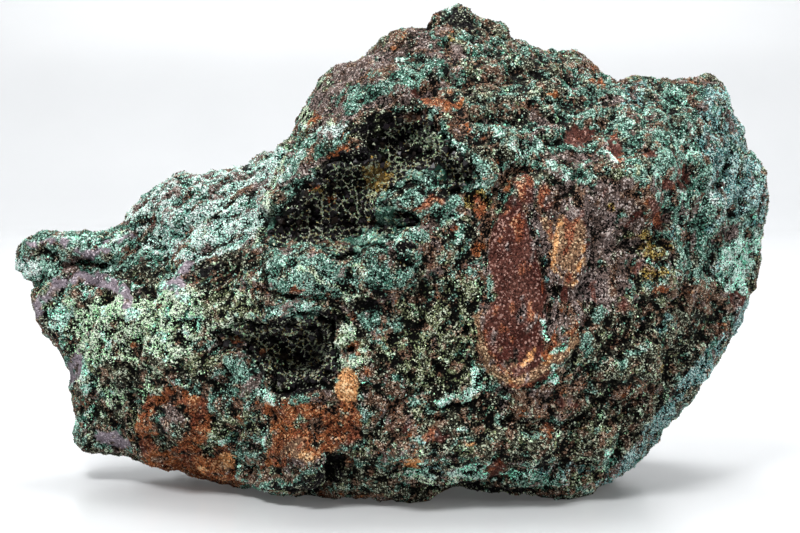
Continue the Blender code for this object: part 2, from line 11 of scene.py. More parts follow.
import logging
import math
from collections.abc import Callable, Sequence
from dataclasses import dataclass, field
from enum import Enum, IntEnum

import bpy
import numpy as np
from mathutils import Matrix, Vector
from mathutils.bvhtree import BVHTree


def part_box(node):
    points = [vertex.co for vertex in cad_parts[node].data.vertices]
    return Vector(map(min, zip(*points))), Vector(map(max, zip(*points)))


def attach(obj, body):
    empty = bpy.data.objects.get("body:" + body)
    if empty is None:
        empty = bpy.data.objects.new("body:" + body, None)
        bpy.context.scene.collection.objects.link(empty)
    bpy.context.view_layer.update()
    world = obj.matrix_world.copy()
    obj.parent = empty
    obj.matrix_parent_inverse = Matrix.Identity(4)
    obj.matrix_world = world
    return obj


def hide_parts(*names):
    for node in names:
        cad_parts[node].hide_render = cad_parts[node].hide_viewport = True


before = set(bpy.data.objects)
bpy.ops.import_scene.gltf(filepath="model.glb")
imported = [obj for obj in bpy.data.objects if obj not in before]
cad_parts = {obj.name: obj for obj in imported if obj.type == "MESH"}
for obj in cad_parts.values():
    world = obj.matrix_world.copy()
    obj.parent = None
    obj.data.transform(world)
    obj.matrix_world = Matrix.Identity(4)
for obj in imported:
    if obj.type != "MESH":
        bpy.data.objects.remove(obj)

MM = 0.001
BODY = "root"
log = logging.getLogger("specimen")

Array = np.ndarray
Chance = np.random.Generator
Pair = tuple[float, float]
Triple = tuple[float, float, float]
Line = tuple[Pair, ...]


# ---------------------------------------------------------------- numbers and noise


class Seed(IntEnum):
    """The first seed of each use of chance."""

    COAT = 7
    LUMP_WANDER = 12
    PITS = 15
    LUMPS = 20
    COARSE_BENDS = 40
    FINE_BENDS = 50
    RELIEF_WANDER = 60
    NET = 61
    STRETCHES = 70
    FOLDS = 80
    GROWTH = 90
    COMPANY = 130
    COLOUR = 300


def smoothstep(low: float, high: float, value: Array) -> Array:
    """Rises smoothly from 0 at low to 1 at high."""
    share = np.clip((value - low) / (high - low), 0.0, 1.0)
    return share * share * (3.0 - 2.0 * share)


def rgb(code: str) -> Array:
    """Turns a colour such as "4F8A7C" into linear red, green and blue."""
    parts = np.array([int(code[i : i + 2], 16) for i in (0, 2, 4)]) / 255.0
    return np.where(parts <= 0.04045, parts / 12.92, ((parts + 0.055) / 1.055) ** 2.4)


@dataclass
class Noise:
    """Seeded noise that is the same on every run.

    Args:
        seed: Picks one of the endless patterns.
    """

    seed: int
    order: Array = field(init=False, repr=False)
    ways: Array = field(init=False, repr=False)

    def __post_init__(self) -> None:
        """Draws the pattern's tables."""
        chance = np.random.default_rng(self.seed)
        self.order = np.tile(chance.permutation(256), 2)
        ways = chance.normal(size=(256, 3))
        self.ways = ways / np.linalg.norm(ways, axis=1)[:, None]

    def key(self, cell: Array) -> Array:
        """A number from 0 to 255 for each whole-numbered cell."""
        x, y, z = (cell & 255).T
        return self.order[self.order[self.order[x] + y] + z]

    def smooth(self, points: Array, size: float) -> Array:
        """Gradient noise.

        Args:
            points: The places.
            size: The width of its bumps.

        Returns:
            A value of about -1 to 1 for each place.
        """
        scaled = points / size
        cell = np.floor(scaled).astype(int)
        inside = scaled - cell
        blend = inside**3 * (inside * (inside * 6.0 - 15.0) + 10.0)
        total = np.zeros(len(points))
        for corner in np.ndindex(2, 2, 2):
            step = np.array(corner)
            weight = np.where(step == 1, blend, 1.0 - blend).prod(axis=1)
            way = self.ways[self.key(cell + step)]
            total += weight * np.einsum("ij,ij->i", way, inside - step)
        return 1.7 * total

    def layered(self, points: Array, size: float, layers: int = 3) -> Array:
        """Gradient noise with finer layers of half the size and strength added.

        Args:
            points: The places.
            size: The width of the widest bumps.
            layers: How many layers there are.

        Returns:
            A value of about -1.5 to 1.5 for each place.
        """
        total = np.zeros(len(points))
        for layer in range(layers):
            total += 0.5**layer * self.smooth(points + 31.7 * layer, size / 2**layer)
        return total

    def streaky(self, points: Array, size: float, layers: int = 1) -> Array:
        """Layered noise drawn out along the stone's streaks.

        They climb to the right on the left part and stand nearly upright on the right part.

        Args:
            points: The places.
            size: The width of the widest bumps.
            layers: How many layers there are.

        Returns:
            A value of about -1.5 to 1.5 for each place.
        """
        right = smoothstep(-45.0, 15.0, points[:, 0])
        total = np.zeros(len(points))
        for degrees, share in ((34.0, 1.0 - right), (74.0, right)):
            turn = math.radians(degrees)
            across, away, up = points.T
            along = (across * math.cos(turn) + up * math.sin(turn)) * 0.42
            beside = up * math.cos(turn) - across * math.sin(turn)
            near = np.flatnonzero(share > 0.0)
            turned = np.stack([along, away, beside], axis=1)[near]
            total[near] += share[near] * self.layered(turned, size, layers)
        return total

    def cells(self, points: Array, size: float) -> tuple[Array, Array]:
        """The nearest of one scattered seed to each cell.

        Args:
            points: The places.
            size: The distance between seeds.

        Returns:
            The distance to the seed, in cells, and the seed's number from 0 to 255.
        """
        scaled = points / size
        home = np.floor(scaled).astype(int)
        nearest = np.full(len(points), np.inf)
        number = np.zeros(len(points), int)
        for offset in np.ndindex(3, 3, 3):
            cell = home + np.array(offset) - 1
            key = self.key(cell)
            seed = cell + 0.5 + 0.42 * self.ways[key]
            away = np.linalg.norm(scaled - seed, axis=1)
            closer = away < nearest
            nearest = np.where(closer, away, nearest)
            number = np.where(closer, key, number)
        return nearest, number


# ---------------------------------------------------------------- the front view


@dataclass(frozen=True)
class FrontView:
    """The eye and the frame that the front of the stone is seen through.

    Args:
        eye: The eye's place.
        pitch: How far the eye looks down, in degrees.
        focal: The focal length, in widths of one step of the frame.
        width: The frame's steps across.
        height: The frame's steps down.
    """

    eye: Triple = (2.5, -587.0, 99.4)
    pitch: float = 4.2
    focal: float = 2223.0
    width: int = 800
    height: int = 533

    def places(self, points: Array) -> Array:
        """The (across, down) places on the frame of points.

        Args:
            points: The places.

        Returns:
            One place on the frame for each.
        """
        away = points - np.array(self.eye)
        turn = math.radians(self.pitch)
        ahead = away[:, 1] * math.cos(turn) - away[:, 2] * math.sin(turn)
        above = away[:, 1] * math.sin(turn) + away[:, 2] * math.cos(turn)
        across = self.width / 2 + self.focal * away[:, 0] / ahead
        down = self.height / 2 - self.focal * above / ahead
        return np.stack([across, down], axis=1)

    def facing(self, points: Array, ways: Array) -> Array:
        """How squarely the way at each point looks at the eye: 1 straight at it, 0 across."""
        sight = np.array(self.eye) - points
        sight /= np.linalg.norm(sight, axis=1)[:, None]
        return np.einsum("ij,ij->i", ways, sight)

    def camera(self) -> bpy.types.Object:
        """Makes the camera at the eye and gives it to the scene.

        Returns:
            The camera.
        """
        lens = bpy.data.cameras.new("front_camera")
        lens.sensor_width = 36.0
        lens.lens = self.focal / self.width * lens.sensor_width
        lens.clip_start = 0.01
        made = bpy.data.objects.new("front_camera", lens)
        made.location = Vector(self.eye) * MM
        made.rotation_euler = (math.radians(90.0 - self.pitch), 0.0, 0.0)
        bpy.context.scene.collection.objects.link(made)
        bpy.context.scene.camera = made
        return made


VIEW = FrontView()


def line_distance(places: Array, line: Sequence[Pair]) -> tuple[Array, Array]:
    """How far places on the frame lie from a line.

    Args:
        places: The (across, down) places.
        line: The line's points, from its start to its end.

    Returns:
        The distances, and +1 or -1 for the side of the line that each place is on.
    """
    nearest = np.full(len(places), np.inf)
    side = np.zeros(len(places))
    for start, end in zip(np.array(line[:-1], float), np.array(line[1:], float)):
        along = end - start
        share = np.clip((places - start) @ along / (along @ along), 0.0, 1.0)
        away = places - start - share[:, None] * along
        distance = np.hypot(away[:, 0], away[:, 1])
        closer = distance < nearest
        nearest = np.where(closer, distance, nearest)
        turn = along[0] * away[:, 1] - along[1] * away[:, 0]
        side = np.where(closer, np.sign(turn), side)
    return nearest, side


def turned_reach(
    places: Array, middle: Pair, half: Pair, tilt: float
) -> Array:
    """How far places lie from the middle of a turned ellipse, where 1 is its edge.

    Args:
        places: The (across, down) places.
        middle: The ellipse's middle.
        half: Half its length and half its width.
        tilt: How far its length slopes down to the right, in degrees.

    Returns:
        The distances, for the ellipse's own reach.
    """
    turn = math.radians(tilt)
    away = places - np.array(middle)
    along = away[:, 0] * math.cos(turn) + away[:, 1] * math.sin(turn)
    beside = away[:, 1] * math.cos(turn) - away[:, 0] * math.sin(turn)
    return np.hypot(along / half[0], beside / half[1])


def inside_distance(places: Array, outline: Sequence[Pair]) -> Array:
    """The distance to a closed outline on the frame, positive inside it.

    Args:
        places: The (across, down) places.
        outline: The outline's corners, in order.

    Returns:
        The distances, in steps of the frame.
    """
    ring = [*outline, outline[0]]
    nearest, _ = line_distance(places, ring)
    inside = np.zeros(len(places), bool)
    across, down = places.T
    for (x0, y0), (x1, y1) in zip(ring[:-1], ring[1:]):
        if y0 == y1:
            continue
        crosses = (y0 > down) != (y1 > down)
        inside ^= crosses & (across < x0 + (down - y0) * (x1 - x0) / (y1 - y0))
    return np.where(inside, nearest, -nearest)


# ---------------------------------------------------------------- minerals


class Mineral(Enum):
    """What a spot of the surface is made of."""

    TEAL = "blue-green malachite"
    FROST = "pale grey-green malachite"
    MINT = "bright mint malachite"
    PALE = "pale yellow-green malachite"
    OLIVE = "olive malachite"
    BLUE = "bluish malachite"
    DARK = "dark druse"
    BLACK = "black crystal"
    BROWN = "brown matrix"
    DUSK = "grey-brown matrix"
    PURPLE = "smooth grey-purple matrix"
    MAROON = "maroon cuprite"
    RED = "red-orange cuprite"
    ORANGE = "orange iron oxide"
    PEACH = "peach iron oxide"
    GOLD = "tan iron oxide"
    OCHRE = "ochre"


@dataclass(frozen=True)
class Tone:
    """The colours and the grain of one mineral.

    Args:
        body: The colour of its grains.
        second: The colour that its grains vary towards from place to place.
        ground: The colour between its grains: the dark matrix, made darker still as painted shade in
            the pores between the grains.
        fleck: The colour of its palest grains.
        flecks: The share of its grains that are the palest.
        cover: The share of the surface that its grains hide.
        grain: How thickly standing crystals grow on it, from 0 to 1.
        size: How large its crystals are, for the usual ones.
        relief: How rough it is, from 0 to 1.
        dull: Its roughness to light.
        contrast: How much its finest grains differ in brightness, from 0 to 1.
        company: The minerals that grow among it, with their shares.
    """

    body: str
    second: str
    ground: str
    fleck: str
    flecks: float
    cover: float
    grain: float = 1.0
    size: float = 1.0
    relief: float = 1.0
    dull: float = 0.55
    contrast: float = 1.0
    company: tuple[tuple[Mineral, float], ...] = ()


M = Mineral
TONES = {
    M.TEAL: Tone("3F6F5E", "749889", "080807", "C4E8DA", 0.15, 0.56,
                 company=((M.DUSK, 0.13), (M.BROWN, 0.12), (M.MINT, 0.04), (M.DARK, 0.13))),
    M.FROST: Tone("85BAAB", "C4E3D8", "0B0B0A", "F2FCF8", 0.36, 0.75,
                  company=((M.TEAL, 0.18), (M.DUSK, 0.22), (M.BROWN, 0.06), (M.DARK, 0.06))),
    M.MINT: Tone("8CDEC0", "C4F4E2", "0B0F0D", "EEFFF8", 0.52, 0.80,
                 company=((M.TEAL, 0.18), (M.DARK, 0.05), (M.DUSK, 0.04))),
    M.PALE: Tone("94C296", "C0DAB6", "050504", "F0FAE6", 0.30, 0.55,
                 company=((M.MINT, 0.09), (M.OLIVE, 0.12), (M.DARK, 0.10), (M.BROWN, 0.05))),
    M.OLIVE: Tone("5A6447", "868E69", "050504", "DCE2C4", 0.16, 0.41,
                  company=((M.PALE, 0.07), (M.TEAL, 0.06), (M.BROWN, 0.16), (M.DARK, 0.14))),
    M.BLUE: Tone("558886", "8CB1AF", "0A0B0B", "D6ECE8", 0.20, 0.68,
                 company=((M.TEAL, 0.16), (M.DUSK, 0.14), (M.BROWN, 0.06), (M.DARK, 0.08))),
    M.DARK: Tone("3C3A30", "60604D", "030302", "C2CAB2", 0.14, 0.33,
                 company=((M.OLIVE, 0.08), (M.TEAL, 0.06), (M.BROWN, 0.18), (M.PALE, 0.04))),
    M.BLACK: Tone("151214", "2A2529", "020202", "B4BEA4", 0.06, 0.40, 0.6,
                  company=((M.OLIVE, 0.06), (M.DARK, 0.2))),
    M.BROWN: Tone("634738", "826653", "060403", "CEBAA6", 0.11, 0.54, contrast=0.85,
                  company=((M.TEAL, 0.07), (M.DARK, 0.12), (M.DUSK, 0.12), (M.ORANGE, 0.04))),
    M.DUSK: Tone("5F4E46", "80706C", "0A0807", "C6B8B2", 0.12, 0.70, 0.6, 0.9, 0.7, contrast=0.8,
                 company=((M.BROWN, 0.14), (M.DARK, 0.06), (M.MAROON, 0.05), (M.TEAL, 0.04))),
    M.PURPLE: Tone("6E646C", "978C94", "2C272C", "C8BCC4", 0.08, 0.97, 0.06, 0.7, 0.5, 0.5, 0.45,
                   company=((M.DUSK, 0.08), (M.TEAL, 0.05))),
    M.MAROON: Tone("48251F", "643F36", "2A1410", "B08A7E", 0.10, 0.97, 0.25, 0.7, 0.32, 0.5, 0.8,
                   company=((M.RED, 0.12), (M.DUSK, 0.06))),
    M.RED: Tone("7C422E", "9E6248", "2C140C", "D09E7A", 0.12, 0.96, 0.3, 0.7, 0.38, 0.5, 0.9,
                company=((M.MAROON, 0.30), (M.DUSK, 0.06))),
    M.ORANGE: Tone("7A432C", "A06038", "1A0E08", "D8A67A", 0.09, 0.78, 0.6, 0.9, 0.7, 0.6, 0.8,
                   company=((M.BROWN, 0.22), (M.RED, 0.10), (M.DARK, 0.04))),
    M.PEACH: Tone("CE8E58", "E6AC76", "6A4228", "F8D4A4", 0.18, 0.98, 0.35, 0.7, 0.5, 0.6, 0.8,
                  company=((M.GOLD, 0.08),)),
    M.GOLD: Tone("7A5B48", "A07E60", "38261A", "E0C29C", 0.12, 0.96, 0.3, 0.7, 0.35, 0.55, 0.9,
                 company=((M.RED, 0.10), (M.DUSK, 0.14), (M.PEACH, 0.04))),
    M.OCHRE: Tone("6E592E", "988042", "080503", "D0C080", 0.12, 0.46,
                  company=((M.BROWN, 0.2), (M.DARK, 0.14), (M.OLIVE, 0.08))),
}
MINERALS = tuple(Mineral)
NUMBER = {mineral: number for number, mineral in enumerate(MINERALS)}
UPRIGHT = (M.MAROON, M.RED, M.GOLD, M.PEACH)  # these grow in upright streaks
STREAKED = (M.TEAL, M.FROST, M.BLUE, M.DUSK, *UPRIGHT)  # these hold their company in streaks
FADED = 1.5  # how far from its middle a patch or a vein ends, for half its width


@dataclass(frozen=True)
class Patch:
    """A rounded stretch of one mineral on the front.

    Args:
        mineral: What grows there.
        middle: Its middle, across and down.
        half: Half its length and half its width.
        strength: How well it holds its place against its neighbours.
        tilt: How far its length slopes down to the right, in degrees.
    """

    mineral: Mineral
    middle: Pair
    half: Pair
    strength: float = 1.0
    tilt: float = 0.0

    def span(self) -> Array:
        """The lowest and the highest place that it can claim."""
        reach = FADED * max(self.half)
        return np.array([np.array(self.middle) - reach, np.array(self.middle) + reach])

    def score(self, places: Array) -> Array:
        """How strongly the mineral claims each place."""
        reach = turned_reach(places, self.middle, self.half, self.tilt)
        return self.strength * (1.0 - smoothstep(0.3, FADED, reach))


def patches(mineral: Mineral, *rows: tuple[float, ...]) -> list[Patch]:
    """Makes patches of one mineral.

    Args:
        mineral: What grows in them.
        rows: Each one's middle, across and down, half its length, half its width, its
            strength and its tilt.

    Returns:
        The patches.
    """
    return [Patch(mineral, row[:2], row[2:4], *row[4:]) for row in rows]


@dataclass(frozen=True)
class Vein:
    """A narrow band of one mineral on the front.

    Args:
        mineral: What fills it.
        line: The points that it follows.
        half: Half its width.
        strength: How well it holds its place against its neighbours.
    """

    mineral: Mineral
    line: Line
    half: float
    strength: float = 1.3

    def span(self) -> Array:
        """The lowest and the highest place that it can claim."""
        reach = FADED * self.half
        return np.array([np.min(self.line, axis=0) - reach, np.max(self.line, axis=0) + reach])

    def score(self, places: Array) -> Array:
        """How strongly the mineral claims each place."""
        away, _ = line_distance(places, self.line)
        return self.strength * (1.0 - smoothstep(0.4, FADED, away / self.half))


@dataclass(frozen=True)
class Field:
    """A stretch of one mineral with an outline of its own.

    Args:
        mineral: What grows there.
        outline: The corners that its edge runs through.
        soft: How wide its edge fades.
        strength: How well it holds its place against its neighbours.
    """

    mineral: Mineral
    outline: Line
    soft: float = 8.0
    strength: float = 1.0

    def span(self) -> Array:
        """The lowest and the highest place that it can claim."""
        corners = np.array(self.outline)
        return np.array([corners.min(axis=0) - self.soft, corners.max(axis=0) + self.soft])

    def score(self, places: Array) -> Array:
        """How strongly the mineral claims each place."""
        depth = inside_distance(places, self.outline)
        return self.strength * smoothstep(-self.soft, self.soft, depth)


# Lines that both a vein and the relief follow.
HOLLOW_EDGE = ((291, 145), (280, 165), (273, 187), (267, 197), (270, 212), (264, 228), (258, 240))
HOLLOW_ARCH = ((437, 112), (442, 130), (452, 146), (470, 160), (487, 164), (492, 176), (482, 182))
TIP_RIDGE = ((33, 243), (60, 240), (75, 248), (97, 253), (115, 243), (130, 235))
SHOULDER_RIDGE = (
    (36, 312), (46, 298), (58, 284), (75, 275), (92, 275), (110, 284), (124, 290), (127, 309),
)
LOBE_EDGE = ((160, 292), (178, 270), (190, 255))
SHOULDER_FORK = ((188, 264), (180, 278), (173, 290))
BRIDGE_EDGE = ((300, 263), (316, 274), (335, 286), (347, 300))
POCKET_EDGE = ((338, 330), (336, 350), (342, 366), (356, 364), (364, 346))
MINT_CREST = ((436, 403), (452, 399), (466, 396), (481, 388))
FOOT_EDGE = ((378, 470), (420, 478), (450, 482))

LEFT_LOBE = (
    Field(M.TEAL, ((8, 228), (60, 228), (125, 226), (170, 262), (120, 282), (70, 268),
                   (30, 290)), 10, 0.9),
    *patches(M.DUSK, (60, 262, 45, 12, 0.75, 8)),
    *patches(M.FROST, (32, 266, 18, 22)),
    *patches(M.DARK, (88, 262, 36, 7, 0.9, 12)),
    Vein(M.MINT, ((60, 237), (82, 239), (104, 244), (118, 236)), 5, 1.0),
    Vein(M.PURPLE, TIP_RIDGE, 3.5, 1.3),
    Vein(M.MINT, LOBE_EDGE, 3, 1.0),
)
LEFT_SHOULDER = (
    Field(M.FROST, ((125, 212), (170, 172), (240, 160), (290, 145), (262, 240), (200, 262),
                    (130, 250)), 10, 1.0),
    *patches(M.DUSK,
        (205, 182, 34, 10, 0.85, -10), (143, 230, 16, 22, 0.85, 20), (240, 222, 26, 13, 0.95, -30),
    ),
    *patches(M.BROWN, (206, 200, 22, 12, 0.8, -10)),
    # The dark patches at (228, 262) and (140, 272), and the black patch at (215, 268) further down,
    # are painted shade along the dark band under the shoulder.
    *patches(M.DARK,
        (152, 240, 14, 10, 0.85), (262, 160, 16, 7, 0.85, -30), (228, 262, 38, 12, 1.0, -8),
        (140, 272, 34, 9, 0.85, 5),
    ),
    *patches(M.MINT, (170, 215, 12, 14, 1.05, 20), (196, 238, 16, 8, 0.9, -20)),
    *patches(M.TEAL, (246, 202, 16, 8, 1.1, -10)),
    *patches(M.ORANGE, (241, 173, 6, 4, 1.2, -20)),
    *patches(M.BLACK, (247, 168, 5, 7, 1.3, 20), (215, 268, 26, 6, 0.8, -20)),
    *patches(M.PURPLE, (76, 366, 8, 18, 1.3, 15)),
    Vein(M.PURPLE, SHOULDER_RIDGE, 6, 1.6),
    Vein(M.PURPLE, SHOULDER_FORK, 6, 1.5),
)
PALE_DRUSE = (
    Field(M.PALE, ((40, 300), (90, 296), (190, 285), (255, 285), (250, 330), (200, 345), (150, 400),
                   (90, 420), (70, 350)), 14, 0.8),
    *patches(M.PALE, (104, 322, 15, 28, 1.25, -15), (228, 302, 24, 12, 0.95)),
    *patches(M.MINT,
        (62, 316, 16, 13, 1.1), (136, 318, 14, 10, 0.95, -20), (182, 297, 12, 8, 0.95),
        (88, 372, 8, 9, 1.05), (85, 360, 10, 22, 0.8), (76, 424, 3, 10, 1.1),
    ),
    *patches(M.OLIVE, (222, 304, 34, 26, 1.05), (196, 362, 34, 14, 0.85)),
    *patches(M.DARK,
        (82, 303, 12, 8), (72, 338, 13, 10, 1.0, 20), (150, 360, 30, 16, 0.95, 30),
        (120, 376, 46, 18, 1.2, 6), (108, 410, 22, 16, 1.0, 20),
    ),
    *patches(M.BROWN,
        (142, 352, 26, 12, 0.85, 30), (132, 372, 24, 9, 1.1, 10), (86, 402, 12, 8, 0.8),
    ),
    *patches(M.TEAL,
        (92, 395, 14, 22, 0.9), (80, 430, 9, 18, 1.2), (96, 446, 12, 5, 1.2, 10),
        (196, 345, 14, 8, 0.95),
    ),
    *patches(M.PURPLE, (112, 438, 20, 8, 1.1, 15)),
    *patches(M.BLACK, (222, 330, 22, 7, 0.9, 5)),
)
LOWER_LEFT = (
    Field(M.ORANGE, ((140, 409), (151, 395), (170, 387), (190, 390), (203, 401), (211, 418),
                     (209, 438), (199, 454), (224, 464), (240, 480), (235, 495), (210, 497),
                     (152, 470), (138, 450), (134, 428)), 6, 1.0),
    *patches(M.RED, (200, 412, 8, 14, 1.2, 10), (146, 444, 10, 12, 1.2, 40)),
    *patches(M.DARK, (172, 424, 21, 26, 2.2)),
    *patches(M.DUSK, (171, 420, 17, 21, 2.6), (216, 482, 14, 4, 1.0, 15)),
    *patches(M.BLACK, (163, 410, 10, 7, 2.9, -20), (178, 430, 7, 10, 2.9, 25)),
    *patches(M.BROWN, (180, 454, 20, 14, 0.9, 10), (252, 474, 18, 9, 0.9), (244, 410, 20, 16, 0.7)),
    *patches(M.OLIVE, (210, 444, 16, 12, 0.9), (134, 420, 8, 18, 0.8), (236, 428, 26, 20, 0.9)),
    *patches(M.ORANGE, (200, 472, 46, 13, 1.5, 22), (222, 452, 9, 12, 1.1)),
    *patches(M.GOLD, (186, 466, 18, 6, 1.5, 20)),
    *patches(M.PEACH, (206, 470, 10, 4, 1.6, 20), (228, 462, 9, 9, 1.2, 40)),
    *patches(M.TEAL, (240, 440, 20, 26, 0.85, 20), (238, 494, 11, 6, 1.3, -25)),
    *patches(M.MINT, (262, 438, 5, 4, 1.2), (220, 444, 4, 3, 1.1)),
)
ORANGE_BAND = (
    Field(M.ORANGE, ((268, 400), (300, 395), (335, 410), (352, 432), (330, 455), (290, 470),
                     (262, 466), (270, 440)), 9, 0.85),
    *patches(M.PEACH, (303, 456, 11, 6, 1.0, -10), (349, 388, 10, 16, 2.2, 10)),
    *patches(M.GOLD, (296, 452, 22, 14, 1.0, -5)),
    *patches(M.ORANGE, (285, 410, 12, 6, 1.1), (346, 404, 8, 14, 1.2)),
    *patches(M.BROWN, (310, 392, 14, 8, 0.9, -10), (280, 478, 26, 6, 0.8, -10)),
    *patches(M.OLIVE, (300, 425, 20, 9, 0.9)),
    *patches(M.DUSK, (296, 466, 10, 5, 1.0, -10)),
    *patches(M.RED, (352, 436, 14, 8, 0.9)),
    Vein(M.ORANGE, ((268, 412), (310, 440), (345, 436)), 6, 1.0),
    Vein(M.ORANGE, ((348, 400), (355, 430)), 5, 1.1),
)
HOLLOWS_ROUND = (
    Field(M.TEAL, ((262, 196), (296, 140), (335, 130), (345, 150), (310, 175), (285, 210),
                   (268, 240)), 8, 1.1),
    Field(M.BLACK, ((272, 208), (300, 170), (330, 150), (380, 112), (430, 110), (470, 160),
                    (475, 190), (440, 205), (400, 215), (352, 236), (300, 245), (268, 240)), 8, 0.85),
    Field(M.TEAL, ((370, 214), (384, 192), (402, 178), (424, 168), (444, 166), (450, 180),
                   (438, 196), (414, 204), (396, 218), (380, 226)), 4, 1.6),
    Field(M.TEAL, ((258, 248), (300, 246), (338, 262), (348, 296), (320, 304), (270, 286)), 7, 1.05),
    Field(M.BLACK, ((252, 322), (300, 318), (344, 308), (338, 350), (336, 376), (318, 388),
                    (296, 400), (274, 396), (270, 372), (244, 352)), 7, 1.1),
    Field(M.TEAL, ((350, 240), (376, 228), (410, 240), (416, 270), (400, 292), (370, 288),
                   (352, 276)), 9, 0.95),
    *patches(M.FROST, (292, 168, 34, 5, 1.25, -44), (328, 130, 24, 12, 0.95, -30)),
    *patches(M.MINT,
        (298, 165, 12, 6, 1.0, -40), (276, 262, 12, 7, 0.95, 10), (322, 262, 14, 5, 0.9, 20),
        (276, 314, 10, 4, 1.1, 10), (306, 306, 8, 4, 1.1), (264, 394, 14, 6, 0.9, 40),
        (372, 240, 10, 5, 1.1, -20), (452, 214, 14, 7, 0.95), (460, 236, 6, 12, 1.0, 10),
    ),
    *patches(M.BLACK,
        (322, 165, 14, 12), (461, 177, 12, 12, 1.5), (450, 200, 10, 4, 1.5, -20),
        (407, 222, 10, 8, 1.2), (405, 246, 12, 8, 1.1), (262, 330, 20, 12, 1.0, 10),
        (365, 302, 14, 10, 1.2), (382, 290, 9, 5, 1.1, 40), (402, 260, 9, 7, 0.95),
    ),
    *patches(M.BROWN,
        (415, 116, 24, 7, 0.95), (322, 297, 12, 4, 1.1), (262, 290, 12, 5, 1.1, 30),
        (322, 398, 16, 9, 0.95, -20), (380, 256, 14, 10, 0.95), (430, 246, 20, 12, 0.8),
    ),
    # The first pale patch, at (424, 138), is a painted highlight: it brightens the rims of the
    # crystals under the upper hollow's roof.
    *patches(M.PALE,
        (424, 138, 30, 20, 1.0, 15), (348, 334, 9, 11, 1.4, -10), (360, 268, 10, 8, 1.1, 30),
        (454, 222, 5, 4, 1.2),
    ),
    *patches(M.OCHRE, (318, 190, 12, 7, 1.1), (378, 176, 20, 22, 1.1, -20), (396, 267, 6, 5, 1.4)),
    *patches(M.ORANGE,
        (312, 188, 6, 5, 1.1), (331, 199, 5, 4, 1.2), (238, 340, 6, 4, 1.1), (262, 352, 9, 5),
        (352, 349, 7, 6, 1.7), (455, 232, 5, 3, 1.3),
    ),
    *patches(M.OLIVE, (366, 196, 18, 12, 0.9), (292, 352, 14, 12, 0.9)),
    *patches(M.RED, (432, 204, 24, 4, 1.65, -8), (300, 291, 14, 4, 1.15, -5)),
    *patches(M.TEAL,
        (290, 311, 32, 8, 1.15, 4), (240, 372, 32, 18, 0.95, 30), (300, 400, 26, 6, 1.0, -10),
        (374, 320, 16, 12, 1.1), (340, 372, 5, 14, 1.1), (407, 284, 7, 9, 1.2),
        (430, 222, 24, 14, 1.05, -15),
    ),
    # The pale vein along HOLLOW_EDGE paints the highlight that this sharp edge catches.
    Vein(M.PALE, HOLLOW_EDGE, 3.2, 1.5),
    Vein(M.DUSK, ((268, 192), (295, 178), (325, 156)), 3.5, 1.35),
    Vein(M.ORANGE, ((325, 155), (340, 149), (357, 144)), 3.8, 1.9),
    Vein(M.TEAL, (*HOLLOW_ARCH, (464, 192), (450, 204)), 6, 1.4),
    Vein(M.MINT, ((448, 140), (460, 154), (484, 163), (491, 174), (478, 184)), 2.5, 1.5),
    # The pale vein along BRIDGE_EDGE paints the highlight along the ridge of the green ledge.
    Vein(M.PALE, BRIDGE_EDGE, 3.5, 1.5),
    Vein(M.PALE, POCKET_EDGE, 3.5, 1.4),
)
UPPER_DOME = (
    Field(M.DUSK, ((296, 130), (310, 90), (340, 58), (390, 30), (430, 22), (452, 60), (430, 100),
                   (380, 110), (330, 128)), 10, 0.74),
    Field(M.TEAL, ((338, 116), (346, 84), (372, 78), (398, 62), (432, 52), (452, 66), (436, 90),
                   (396, 96), (362, 112)), 7, 0.98),
    *patches(M.DUSK,
        (352, 62, 26, 9, 0.85, -30), (386, 96, 24, 5, 1.0, -15), (342, 116, 12, 9, 0.9),
        (458, 52, 8, 14, 0.9, -30),
    ),
    *patches(M.TEAL,
        (420, 68, 28, 16, 1.05, -15), (404, 86, 30, 8, 1.1, -10), (451, 12, 10, 7, 0.95),
    ),
    *patches(M.MINT,
        (352, 88, 7, 5, 0.95), (408, 84, 10, 6, 1.1, -10), (404, 58, 9, 4, 0.9),
        (453, 10, 4, 3, 1.1),
    ),
    *patches(M.BROWN,
        (380, 74, 24, 10, 0.9, -20), (402, 40, 22, 12, 0.95, -20), (440, 92, 14, 7),
        (446, 32, 14, 9, 0.85),
    ),
    *patches(M.PALE, (306, 120, 5, 14, 1.2, 15), (330, 122, 9, 7, 1.15, -10)),
    *patches(M.ORANGE, (313, 116, 7, 5, 1.1)),
    *patches(M.DARK,
        (324, 84, 10, 16, 0.9, 30), (378, 44, 26, 8, 0.9, -20), (430, 24, 12, 8, 0.95, -30),
        (486, 28, 16, 6, 0.9, 20),
    ),
    *patches(M.BLACK, (460, 18, 22, 10, 0.9, 20)),
    *patches(M.OCHRE, (451, 41, 6, 3, 1.3, 20)),
    Vein(M.DUSK, ((400, 96), (420, 96), (440, 90)), 3, 1.2),
    Vein(M.ORANGE, ((424, 101), (436, 104), (455, 105)), 4, 1.9),
)
